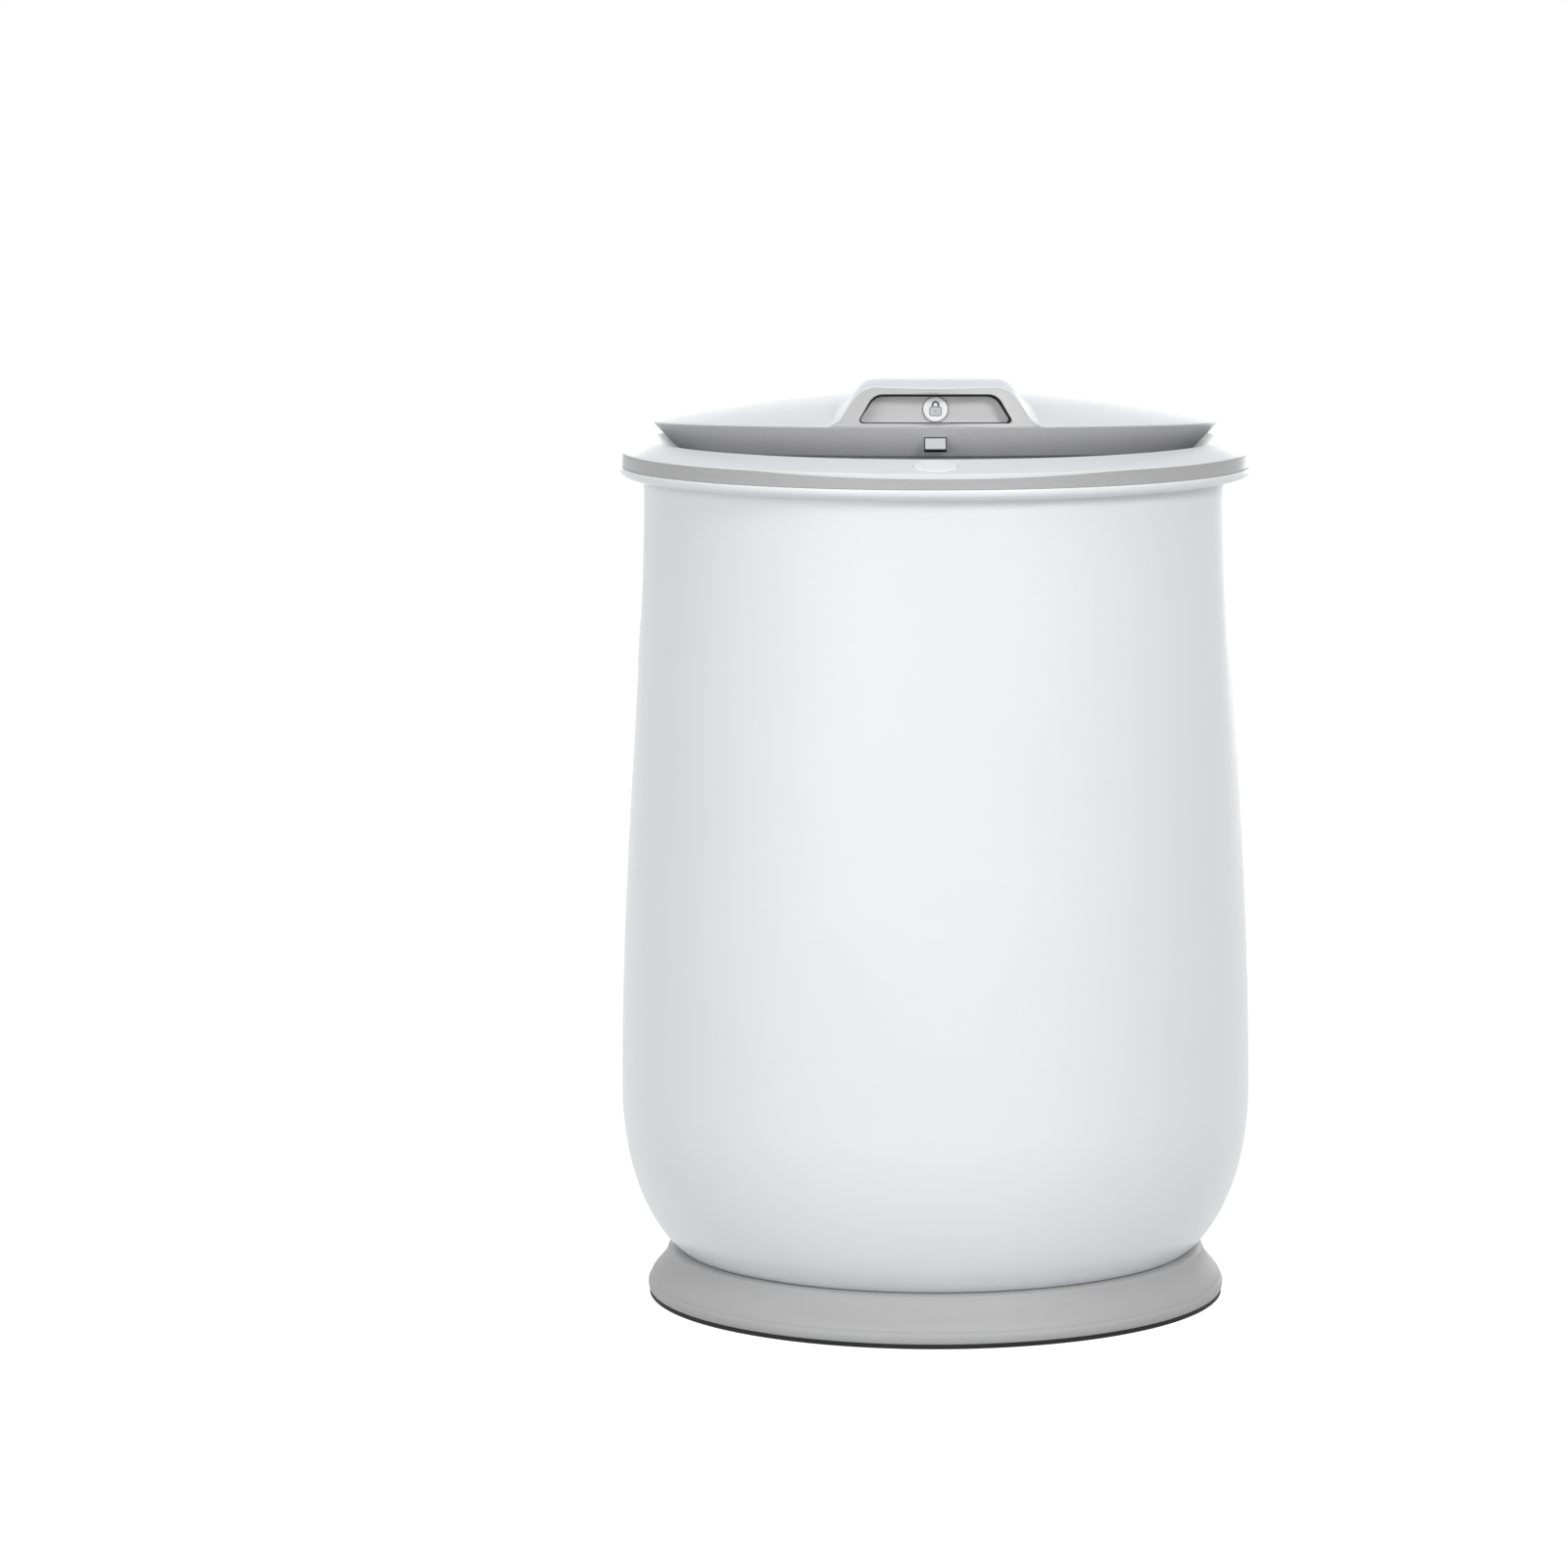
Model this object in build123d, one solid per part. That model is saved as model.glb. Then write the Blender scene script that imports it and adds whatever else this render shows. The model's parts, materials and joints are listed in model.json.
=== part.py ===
"""Towel warmer bucket: a barrel-shaped insulated bucket on a flared base, with a hinged latching lid.

Millimetres. +Z is up, the origin is on the barrel's axis at floor level, and the front faces -Y.
The lid is drawn shut, in its own closed frame, and then raised by lid_ajar about its hinge.
"""

from build123d import *
from math import cos, radians, sin, sqrt, tan
import os

os.makedirs("parts", exist_ok=True)

# ---------------------------------------------------------------- driving dimensions
# Base and foot
foot_height = 1.9  # clear height of the base above the floor
foot_set_back = 0.1  # foot inside the base's lower edge
foot_width = 7.0
foot_key = 1.2  # how deep the foot's key sits in the base plate
foot_key_width = 3.4
foot_round = 0.6
base_spread = 16.2  # base's lower edge outside the seam
bead_height = 5.6  # rounded bead at the foot of the flare
bead_bulge = 1.1
bead_step = 0.4
shoulder_width = 6.3  # rounded ledge between the seam and the flare
shoulder_drop = 2.5
flare_low = (0.3, 4.0)  # inwards and upwards pull of the flare at the bead
flare_high = (1.8, 6.9)  # outwards and downwards pull of the flare at the ledge
base_wall = 2.6
plate_thickness = 2.6
seam_z = 25.8  # where the barrel meets the base
shadow_gap = 0.9  # rebate at the barrel's foot, which shows as a dark line
shadow_gap_depth = 1.5

# Barrel
belly_r = 166.3
belly_z = 109.5
curve_r = 47.55  # half axes of the quarter ellipse under the belly
curve_z = 89.9
barrel_taper = 12.7  # how much narrower the barrel's top is than its belly
barrel_top_z = 433.8
barrel_wall = 2.6
side_low = 0.375  # pulls of the side's curve, as shares of its rise
side_high = 0.687
side_draft = 0.2

# Collar and rim
rim_overhang = 10.8  # band outside the barrel's top
lip_reach = 1.3  # white lip outside the band
collar_lip = 6.2  # height of the rounded lip
lip_round = (0.8, 1.2)  # rounding at the top of the lip, level and upright
lip_sit = 0.6  # lip's underside starts this far outside the barrel
lip_under = (2.1, 0.5)
lip_turn = 2.4
collar_deck_drop = 4.0
collar_deck = 2.5
collar_upstand = 2.0  # upstand that the band stands round
upstand_wall = 1.8
collar_spigot_depth = 9.8
collar_spigot_wall = 2.5
band_wall = 2.2
band_height = 7.2
band_clearance = 0.2
rim_lip = 0.7  # upright edge of the bezel above the band
rim_width = 15.2  # level width of the sloping face
rim_slope = 23.5  # degrees, outer face of the bezel
rim_wall = 2.2
rim_edge_round = 0.6
crown_round = 1.0
dip_depth = 2.0  # the bezel comes down over the band at the front
dip_half_width = 92.0

# Drum, heater and lagging
drum_ledge = 5.2  # drum's mouth inside the foot of the lid's funnel
drum_draft = 3.0
drum_floor_z = 84.0
drum_wall = 1.0
drum_corner_r = 12.0
drum_lip_round = 0.8
drum_flange = 7.5
heater_z = (118.0, 360.0)
heater_gap = 0.1
heater_thickness = 1.5
lagging_z = (100.0, 424.0)
lagging_thickness = 6.0
cradle_wall = 2.4
cradle_inset = 8.0  # cradle's foot inside the screws
cradle_shelf = 14.0
cradle_under_drum = 11.5
cradle_windows = 6
cradle_window_width = 62.0
cradle_window_frame = 8.0

# Lid
lid_gap = 1.7  # level gap between the lid's cone and the rim's funnel
lid_edge = 0.5  # upright edge of the dome
dome_rise = 16.2
dome_wall = 2.4
skirt_depth = 15.0
skirt_wall = 2.2
skirt_edge_round = 0.3
skirt_foot_round = 0.8
skirt_flange = 13.5
liner_gap = 0.8
liner_thickness = 2.0
seal_width = 4.2
seal_height = 2.2
seal_overlap = 1.0
foam_inset = 17.0  # foam inside the circle of bosses
foam_height = 11.0
lid_boss_r = 3.6
lid_boss_inset = 7.6
lid_ajar = 3.0  # degrees the lid stands open at rest

# Handle hood, its window and grip pocket
hood_wall = 2.0
hood_crest = 25.0
hood_foot_half = 56.0
hood_top_half = 27.5
hood_foot_pull = (13.0, 0.03)  # level pull, and upright pull as a share of the height
hood_top_pull = 18.0
# Each section of the hood: distance behind the lid's front, height and widening at the top
hood_sections = [
    (-6.5, 16.6, 0.0),
    (7.5, 20.0, 0.0),
    (22.5, 23.6, 1.0),
    (39.5, 25.0, 1.5),
    (61.5, 23.6, 0.0),
    (85.5, 18.6, -4.0),
    (107.5, 12.0, -9.0),
]
fascia_wall = 2.5
fascia_lean = 17.6  # degrees the fascia leans back
fascia_set_back = 0.2
window_sill = 1.9
window_height = 14.5
window_half_sill = 39.3
window_half_head = 30.9
window_sill_corner = 1.6
window_head_corner = 8.0
window_sill_grow = 1.3  # how the sill and the head widen when the outline grows
window_head_grow = 0.8
pocket_wall = 1.4
pocket_depth = 16.5  # pocket's back behind the lid's front
pocket_back_wall = 2.0

# Latch and its button
badge_r = 6.3
badge_height = 9.2  # badge centre above the lid's edge plane
badge_proud = 2.2
badge_gap = 0.25
badge_chamfer = 0.4
latch_travel = 3.0
bolt_width = 10.4
bolt_height = 5.6
bolt_drop = 8.3  # bolt centre below the lid's edge plane
bolt_set_back = 3.0  # bolt's tip behind the lid's front
bolt_gap = 0.35
bolt_chamfer = 0.5
catch_reach = 14.0  # how far the bolt's slot in the bezel runs
catch_gap = (0.8, 1.3)  # level and upright room of that slot
carriage_web = 3.5
carriage_rise = 5.0  # web above the badge's centre
spring_length = 10.0
spring_r = 3.2
spring_wire = 0.8
spring_pitch = 2.0
guide_wall = 2.0
guide_lead = 1.5
stub_length = 3.2

# Hinge
hinge_behind = 0.8  # axis behind the bezel's crown
hinge_above = 6.5  # axis above the bezel's crown
hinge_pillar_r = 3.0
hinge_pin_r = 2.0
pin_end = 1.5  # pin's ends inside the ears' faces
barrel_knuckle_r = 5.0
ear_r = 6.0
ear_inner_x = 26.0
ear_width = 8.0
hinge_side_gap = 0.4
hinge_screw_x = 15.0
hinge_screw_inset = 6.8  # screws behind the bezel's crown
saddle_reach = 13.0  # saddle's back behind the bezel's crown
saddle_rise = 2.4
leaf_reach = 30.0  # tongue's end in front of the hinge

# Power button and control board
button_length = 23.2
button_width = 12.4
button_inset = 7.0  # centre behind the bezel's crown
button_proud = 0.25
button_round = 0.5
button_wall = 1.6
button_top = 1.25
button_travel = 0.8
button_gap = 0.25
ear_reach = 1.2  # ears under the bezel
ear_depth = 6.0
ear_thickness = 1.1
stem_r = 2.2
plunger_r = 1.7
plunger_gap = 0.2
board_drop = 7.2  # board face below the bezel's face
board_thickness = 1.6
board_size = (40.0, 11.0)
board_shift = 1.0
board_post_x = 17.0
board_post_r = 2.4
board_post_inset = 2.8
board_room = (42.0, 10.5, 8.0)
board_room_shift = -0.75
switch_size = 6.0
switch_height = 2.3
lamp_size = (3.0, 2.0, 1.6)
lamp_x = 7.5
connector_size = (8.0, 5.0, 5.0)
connector_x = 8.0
connector_y = 3.8

# Wiring
cable_r = 1.5
cable_lead = 7.0  # straight end below the connector
lead_r = 1.0

# Fits
clearance = 0.3
running = 0.05
touch = 0.1

# Power section in the base
power_board_size = (96.0, 66.0)
power_board_y = 58.0
power_board_posts = 5.0
power_post_r = 3.2
power_post_inset = 5.0
terminal_size = (30.0, 10.0, 10.0)
terminal_spot = (-25.0, 40.0)
terminal_holes = (-38.0, -32.0, -14.0)
core_size = (26.0, 22.0, 20.0)
bobbin_size = (20.0, 30.0, 15.0)
transformer_spot = (26.0, 68.0)
relay_size = (19.0, 15.0, 15.0)
relay_spot = (-8.0, 72.0)
capacitor_spot = (-34.0, 70.0)
capacitor_r = 5.0
capacitor_height = 16.0
vent_width = 3.0
vent_y = (-70.0, -20.0)
inlet_width = 24.0
inlet_height = 13.0
inlet_z = 14.6
inlet_depth = 20.0
inlet_recess = 5.3  # inlet's face inside the base's lower edge
inlet_foot = 8.0
socket_width = 17.2
socket_height = 8.2
socket_depth = 12.5
inlet_pin_r = 1.2
inlet_pin_pitch = 8.6
inlet_pin_short = 2.0

# Sensors under the drum
thermostat_x = 38.0
thermostat_r = (8.0, 6.5)  # cap and body
thermostat_step = 4.0
thermostat_ears = (12.0, 4.0)
fuse_spot = (-36.0, 12.0)
fuse_clip = (5.0, 9.0)
fuse_r = 2.0
fuse_length = 20.0
probe_y = -38.0
probe_lug = (4.0, 9.0)
probe_r = 2.2
probe_length = 14.0
sensor_drop = 2.6  # fuse and probe below the drum's floor

# Screws
screw_r = 1.45
screw_head_r = 3.0
screw_head = 1.6
screw_inset = 9.0  # screws in the base inside the seam
base_boss_r = 4.2
barrel_boss_r = 3.6
boss_height = 12.0
deck_inset = 5.5  # base's open middle inside its screws
barrel_floor_inset = 15.5

# ---------------------------------------------------------------- worked-out sizes
seam_r = belly_r - curve_r + curve_r * sqrt(1 - ((belly_z - seam_z) / curve_z) ** 2)
base_r = seam_r + base_spread
foot_outer_r = base_r - foot_set_back
plate_top_z = foot_height + plate_thickness
plate_r = base_r - base_wall - clearance
screw_circle = seam_r - screw_inset
base_deck_inner_r = screw_circle - deck_inset
barrel_floor_inner_r = screw_circle - barrel_floor_inset
barrel_floor_top_z = seam_z + barrel_wall
cradle_foot_r = screw_circle - cradle_inset

barrel_top_r = belly_r - barrel_taper
rim_r = barrel_top_r + rim_overhang
collar_r = rim_r + lip_reach
collar_top_z = barrel_top_z + collar_lip
collar_deck_z = collar_top_z - collar_deck_drop
upstand_r = rim_r - band_wall - band_clearance
collar_ledge_r = upstand_r - upstand_wall
band_top_z = collar_top_z + band_height
crown_r = rim_r - rim_width
crown_z = band_top_z + rim_lip + rim_width * tan(radians(rim_slope))
rim_drop = rim_wall / cos(radians(rim_slope))  # the bezel's wall, measured upright
funnel_foot_z = collar_deck_z + drum_wall
funnel_foot_r = crown_r - (crown_z - funnel_foot_z)

drum_mouth_r = funnel_foot_r - drum_ledge
drum_floor_r = drum_mouth_r - drum_draft
cradle_top_r = drum_floor_r - cradle_under_drum

lid_r = crown_r - lid_gap
lid_plane_z = crown_z
sphere_r = (lid_r**2 + dome_rise**2) / (2 * dome_rise)
skirt_level_wall = skirt_wall * sqrt(2)
liner_r = lid_r - skirt_depth - skirt_level_wall - liner_gap
liner_low_z = lid_plane_z - skirt_depth
liner_top_z = liner_low_z + liner_thickness
lid_boss_circle = liner_r - lid_boss_inset
foam_r = lid_boss_circle - foam_inset

pocket_back_y = pocket_depth - lid_r
badge_z = lid_plane_z + badge_height
bolt_z = lid_plane_z - bolt_drop
bolt_low_z = bolt_z - bolt_height / 2
bolt_high_z = bolt_z + bolt_height / 2
web_front_y = pocket_back_y + pocket_back_wall + latch_travel + clearance
guide_back_y = web_front_y + carriage_web + spring_length

hinge_y = crown_r + hinge_behind
hinge_z = crown_z + hinge_above
hinge_screw_y = crown_r + hinge_screw_inset
button_circle = crown_r + button_inset
ear_top = -(rim_wall + clearance)  # the key's ears, from the bezel's face
ear_low = ear_top - ear_thickness
plunger_low = -(board_drop - button_travel - plunger_gap)
board_face_z = plate_top_z + power_board_posts + board_thickness
inlet_face_y = base_r - inlet_recess


def slope_z(r):
    """Height of the bezel's sloping face at radius r."""
    return crown_z - (r - crown_r) * tan(radians(rim_slope))


def drum_outer_r(z):
    """Outer radius of the tapered drum at height z."""
    share = (z - drum_floor_z) / (collar_deck_z - drum_floor_z)
    return drum_floor_r + drum_wall + share * (drum_mouth_r - drum_floor_r)


# ---------------------------------------------------------------- small tools
def turned(points, radii=None):
    """Solid of revolution from (r, z) corners, with a rounding for each corner."""
    if radii is None:
        outline = Polyline(*points, close=True)
    else:
        outline = FilletPolyline(*points, radius=radii, close=True)
    return turned_edges(outline)


def turned_edges(edges):
    """Solid of revolution from edges that close up in the r-z plane."""
    return revolve(Plane.XZ * make_face(edges), Axis.Z)


def tube(inner_r, outer_r, low, high):
    """Plain upright ring."""
    return turned([(inner_r, low), (outer_r, low), (outer_r, high), (inner_r, high)])


def post(x, y, r, low, high):
    """Upright round post."""
    return Pos(x, y, (low + high) / 2) * Cylinder(r, high - low)


def block(x, y, z):
    """Box from its (low, high) along each axis."""
    centre = Pos(sum(x) / 2, sum(y) / 2, sum(z) / 2)
    return centre * Box(x[1] - x[0], y[1] - y[0], z[1] - z[0])


def layer(low, high):
    """Everything between two heights."""
    return block((-2 * belly_r, 2 * belly_r), (-2 * belly_r, 2 * belly_r), (low, high))


def along_y(r, x, y, z):
    """Round bar along Y over a (low, high) span."""
    return Pos(x, sum(y) / 2, z) * Rot(90, 0, 0) * Cylinder(r, y[1] - y[0])


def along_x(r, half, y, z):
    """Round bar along X, centred."""
    return Pos(0, y, z) * Rot(0, 90, 0) * Cylinder(r, 2 * half)


def around(count, r, start=0.0):
    """Points evenly spaced on a circle."""
    angles = [radians(start + i * 360.0 / count) for i in range(count)]
    return [(r * cos(a), r * sin(a)) for a in angles]


def across_x(points, half_width, radii=None):
    """Prism along X, centred, from (y, z) corners."""
    if radii is None:
        outline = Polyline(*points, close=True)
    else:
        outline = FilletPolyline(*points, radius=radii, close=True)
    return extrude(Plane.YZ * make_face(outline), half_width, both=True)


def group(solids):
    """Separate solids kept as one node."""
    return Compound(list(solids))


def wire_tube(points, r):
    """Insulated wire through points, with arcs as large as the runs allow."""
    vectors = [Vector(*p) for p in points]
    radii = []
    for before, here, after in zip(vectors, vectors[1:], vectors[2:]):
        turn = (here - before).get_angle(after - here)
        shorter = min((here - before).length, (after - here).length)
        radii.append(0.45 * shorter / tan(radians(turn) / 2))
    path = FilletPolyline(*vectors, radius=radii)
    start = Plane(origin=vectors[0], z_dir=vectors[1] - vectors[0])
    return sweep(start * Circle(r), path=path)


# ---------------------------------------------------------------- base
def base_solid(inset):
    """Solid base, inset from the outside: bead, flare and rounded ledge."""
    foot_r = base_r - inset
    top = seam_z - inset
    ledge_r = seam_r + shoulder_width - inset
    crease = (foot_r - bead_step, foot_height + bead_height)
    ledge = (ledge_r, top - shoulder_drop)
    bead = Bezier(
        (foot_r, foot_height),
        (foot_r + 0.6 * bead_bulge, foot_height + 0.27 * bead_height),
        (foot_r + bead_bulge, crease[1] - 0.16 * bead_height),
        crease,
    )
    flare = Bezier(
        crease,
        (foot_r - flare_low[0], crease[1] + flare_low[1]),
        (ledge_r + flare_high[0], ledge[1] - flare_high[1]),
        ledge,
    )
    shoulder = Bezier(
        ledge,
        (ledge_r - 0.03 * shoulder_width, top - 0.2 * shoulder_drop),
        (ledge_r - 0.2 * shoulder_width, top),
        (ledge_r - shoulder_width, top),
    )
    inside = Polyline(shoulder @ 1, (0, top), (0, foot_height), bead @ 0)
    return turned_edges(bead + flare + shoulder + inside)


def inlet_cut():
    """Room that the mains inlet takes in the base's rear wall."""
    half_x = inlet_width / 2 + clearance
    half_z = inlet_height / 2 + clearance
    front = inlet_face_y - inlet_depth - clearance
    return block((-half_x, half_x), (front, 2 * base_r), (inlet_z - half_z, inlet_z + half_z))


def base_shell():
    """Grey flared base, hollow below, with a deck that the barrel stands on."""
    deck_low = seam_z - base_wall
    shell = base_solid(0) - base_solid(base_wall)
    shell -= post(0, 0, base_deck_inner_r, 0, 2 * seam_z)
    for x, y in around(4, screw_circle, 45):
        shell += post(x, y, base_boss_r, plate_top_z, deck_low)
        shell -= post(x, y, screw_r, plate_top_z - touch, deck_low - 1)
    for x, y in around(4, screw_circle):
        shell -= post(x, y, screw_r + clearance, 0, 2 * seam_z)
    return shell - inlet_cut()


def base_plate():
    """Flat plate that closes the base, grooved for the foot ring."""
    plate = post(0, 0, plate_r, foot_height, plate_top_z)
    groove_r = foot_outer_r - foot_width
    plate -= tube(groove_r, groove_r + foot_key_width, foot_height, foot_height + foot_key)
    for x, y in around(4, screw_circle, 45):
        plate -= post(x, y, screw_r + clearance, 0, 2 * plate_top_z)
        plate -= post(x, y, screw_head_r + clearance, 0, foot_height + screw_head)
    for x, y in power_board_corners():
        plate += post(x, y, power_post_r, plate_top_z, plate_top_z + power_board_posts)
    vents = power_board_size[0] / 2 - 2 * vent_width
    for share in (-1, -1 / 3, 1 / 3, 1):
        slot = (share * vents - vent_width / 2, share * vents + vent_width / 2)
        plate -= block(slot, vent_y, (0, 2 * plate_top_z))
    return plate


def foot_ring():
    """Rubber ring under the base's edge, keyed into the base plate."""
    inner_r = foot_outer_r - foot_width
    key_r = inner_r + foot_key_width
    corners = [
        (inner_r, 0),
        (foot_outer_r, 0),
        (foot_outer_r, foot_height),
        (key_r, foot_height),
        (key_r, foot_height + foot_key),
        (inner_r, foot_height + foot_key),
    ]
    return turned(corners, [foot_round, foot_round, 0, 0, 0, 0])


def screw_up(x, y, seat_z, length):
    """Screw driven upwards: its head lies below seat_z."""
    head = post(x, y, screw_head_r, seat_z - screw_head + touch, seat_z)
    return head + post(x, y, screw_r - running, seat_z - screw_head / 2, seat_z + length)


def base_screws():
    """Screws that hold the plate to the base."""
    return group(
        screw_up(x, y, foot_height + screw_head, boss_height + 1) for x, y in around(4, screw_circle, 45)
    )


def barrel_screws():
    """Screws that hold the base to the barrel's floor."""
    return group(screw_up(x, y, seam_z - base_wall, boss_height - 1) for x, y in around(4, screw_circle))


# ---------------------------------------------------------------- barrel
def barrel_solid(inset):
    """Solid barrel, inset from the outside, from under its floor to its top."""
    low_z = belly_z - (curve_z - inset)
    rise = barrel_top_z - belly_z
    under = EllipticalCenterArc(
        (belly_r - curve_r, belly_z), curve_r - inset, curve_z - inset, start_angle=-90, arc_size=90
    )
    side = Bezier(
        (belly_r - inset, belly_z),
        (belly_r - inset, belly_z + side_low * rise),
        (barrel_top_r + side_draft - inset, belly_z + side_high * rise),
        (barrel_top_r - inset, barrel_top_z),
    )
    ends = Polyline(side @ 1, (0, barrel_top_z), (0, low_z), under @ 0)
    return turned_edges(under + side + ends)


def outer_shell():
    """White barrel with a floor ring that stands on the base."""
    room = barrel_solid(barrel_wall) & layer(barrel_floor_top_z, 2 * barrel_top_z)
    shell = (barrel_solid(0) - room) & layer(seam_z, barrel_top_z)
    shell -= post(0, 0, barrel_floor_inner_r, 0, 2 * barrel_floor_top_z)
    shell -= tube(seam_r - shadow_gap_depth, 2 * seam_r, seam_z, seam_z + shadow_gap)
    for x, y in around(4, screw_circle):
        shell += post(x, y, barrel_boss_r, seam_z + shadow_gap, seam_z + boss_height)
        shell -= post(x, y, screw_r, 0, seam_z + boss_height - 1)
    return shell


# ---------------------------------------------------------------- collar and rim
def collar_ring():
    """White collar: rounded lip outside, deck for the drum and the rim inside."""
    spigot_r = barrel_top_r - barrel_wall - clearance
    spigot_inner_r = spigot_r - collar_spigot_wall
    spigot_z = barrel_top_z - collar_spigot_depth
    deck_inner_r = drum_outer_r(collar_deck_z) + clearance
    deck_low = collar_deck_z - collar_deck
    lip = Bezier(
        (barrel_top_r + lip_sit, barrel_top_z),
        (collar_r - lip_under[0], barrel_top_z + lip_under[1]),
        (collar_r, barrel_top_z + lip_turn),
        (collar_r, collar_top_z - lip_round[1]),
    )
    rest = Polyline(
        lip @ 1,
        (collar_r - lip_round[0], collar_top_z),
        (upstand_r, collar_top_z),
        (upstand_r, collar_top_z + collar_upstand),
        (collar_ledge_r, collar_top_z + collar_upstand),
        (collar_ledge_r, collar_deck_z),
        (deck_inner_r, collar_deck_z),
        (deck_inner_r, deck_low),
        (spigot_inner_r, deck_low),
        (spigot_inner_r, spigot_z),
        (spigot_r, spigot_z),
        (spigot_r, barrel_top_z),
        lip @ 0,
    )
    ring = turned_edges(lip + rest)
    for x in (-board_post_x, board_post_x):
        standing = post(x, -(crown_r + board_post_inset), board_post_r, collar_deck_z - touch, crown_z)
        ring += standing - board_space(board_drop + board_thickness)
    for x, y in hinge_screw_spots():
        ring += post(x, y, hinge_pillar_r, collar_deck_z - touch, hinge_pillar_top())
        ring -= post(x, y, screw_r, collar_deck_z, crown_z)
    cable = cable_through_deck()
    return ring - post(cable.X, cable.Y, cable_r + 4 * clearance, deck_low - 1, collar_deck_z + 1)


def hinge_pillar_top():
    """Height of the pillars under the bezel at the hinge screws."""
    reach = sqrt(hinge_screw_x**2 + hinge_screw_y**2) + hinge_pillar_r
    return slope_z(reach) - rim_drop - touch


def front_dip():
    """Round-backed cutter for the dip of the band's top edge at the front."""
    big_r = (dip_half_width**2 + dip_depth**2) / (2 * dip_depth)
    drum = along_y(big_r, 0, (-1.5 * rim_r, -0.5 * rim_r), band_top_z + big_r - dip_depth)
    span = block((-dip_half_width, dip_half_width), (-1.2 * rim_r, 0), (collar_top_z, crown_z))
    return drum & span


def rim_band():
    """Grey band round the rim, dipped at the front."""
    return tube(rim_r - band_wall, rim_r, collar_top_z, band_top_z) - front_dip()


def rim_profile():
    """Corners of the bezel: lip, sloping face, crown, funnel and back again."""
    level_wall = rim_wall * sqrt(2)
    slope = tan(radians(rim_slope))
    outer_r = collar_ledge_r - clearance
    inner_r = outer_r - rim_wall
    fall = crown_r + level_wall
    under_r = (crown_r * slope - rim_drop + fall) / (1 + slope)
    return [
        (rim_r, band_top_z),
        (rim_r, band_top_z + rim_lip),
        (crown_r, crown_z),
        (funnel_foot_r, funnel_foot_z),
        (funnel_foot_r + level_wall, funnel_foot_z),
        (under_r, crown_z - fall + under_r),
        (inner_r, slope_z(inner_r) - rim_drop),
        (inner_r, collar_deck_z),
        (outer_r, collar_deck_z),
        (outer_r, band_top_z),
    ]


def rim_bezel():
    """Pale rim with the sloping control face outside and the lid's funnel inside."""
    bezel = turned(rim_profile(), [0, rim_edge_round, crown_round, 0, 0, 0, 0, 0, 0, 0])
    bezel += tube(upstand_r, rim_r, band_top_z - dip_depth, band_top_z) & front_dip()
    bezel -= button_shape(button_gap, -board_drop, board_drop)
    half = bolt_width / 2 + catch_gap[0]
    bezel -= block(
        (-half, half),
        (-crown_r - catch_gap[0], catch_reach - crown_r),
        (bolt_low_z - catch_gap[1], bolt_high_z + catch_gap[1]),
    )
    for x, y in hinge_screw_spots():
        bezel -= post(x, y, screw_r + clearance, collar_deck_z, crown_z)
        bezel -= post(x, y, hinge_pillar_r + clearance, collar_deck_z - 1, hinge_pillar_top())
    room_z = -rim_wall - touch - board_room[2] / 2
    return bezel - on_board(Box(*board_room), 0, board_room_shift, room_z)


def rim_mass():
    """Everything under the bezel's faces, used to seat what stands on it."""
    foot = collar_top_z
    return turned([(0, foot), (rim_r, foot), (rim_r, slope_z(rim_r)), (crown_r, crown_z), (0, crown_z)])


# ---------------------------------------------------------------- power button and its board
def board_plane():
    """Plane on the bezel's sloping face at the button, z outwards."""
    tilt = radians(rim_slope)
    origin = (0, -button_circle, slope_z(button_circle))
    return Plane(origin=origin, x_dir=(1, 0, 0), z_dir=(0, -sin(tilt), cos(tilt)))


def on_board(shape, x=0.0, y=0.0, z=0.0):
    """Put a shape at x, y, z of the board's plane."""
    return board_plane() * (Pos(x, y, z) * shape)


def board_space(drop):
    """Space above the level that lies drop below the bezel's face."""
    depth = 2 * board_drop + drop
    return on_board(Box(4 * button_length, 4 * button_width, depth), 0, 0, depth / 2 - drop)


def oval_prism(grow, low, high):
    """Oval of the button's size, from low to high."""
    oval = Ellipse(button_length / 2 + grow, button_width / 2 + grow)
    return Pos(0, 0, low) * extrude(oval, high - low)


def button_shape(grow, low, high):
    """Oval prism on the button's spot."""
    return board_plane() * oval_prism(grow, low, high)


def power_button():
    """Oval key with a stem, held in by an ear at each end."""
    key = oval_prism(0, ear_low, button_proud)
    key = fillet(key.edges().sort_by(Axis.Z)[-1], button_round)
    ears = Pos(0, 0, ear_low + ear_thickness / 2) * Box(
        button_length + 2 * ear_reach, ear_depth, ear_thickness
    )
    hollow = oval_prism(-button_wall, ear_low, button_proud - button_top - clearance)
    stem_top = button_proud - button_top + touch
    stem = Pos(0, 0, (ear_low + stem_top) / 2) * Cylinder(stem_r, stem_top - ear_low)
    return board_plane() * (key + ears - hollow + stem)


def switch_plunger():
    """Plunger of the switch, which the key's stem pushes."""
    return on_board(Cylinder(plunger_r, ear_low - plunger_low), 0, 0, (ear_low + plunger_low) / 2)


def tact_switch():
    """Square switch body on the control board."""
    body = Box(switch_size, switch_size, switch_height) - Cylinder(plunger_r + plunger_gap, switch_height)
    return on_board(body, 0, 0, -board_drop + switch_height / 2)


def control_board():
    """Small board under the control face."""
    board = Box(board_size[0], board_size[1], board_thickness)
    return on_board(board, 0, board_shift, -board_drop - board_thickness / 2)


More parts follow.
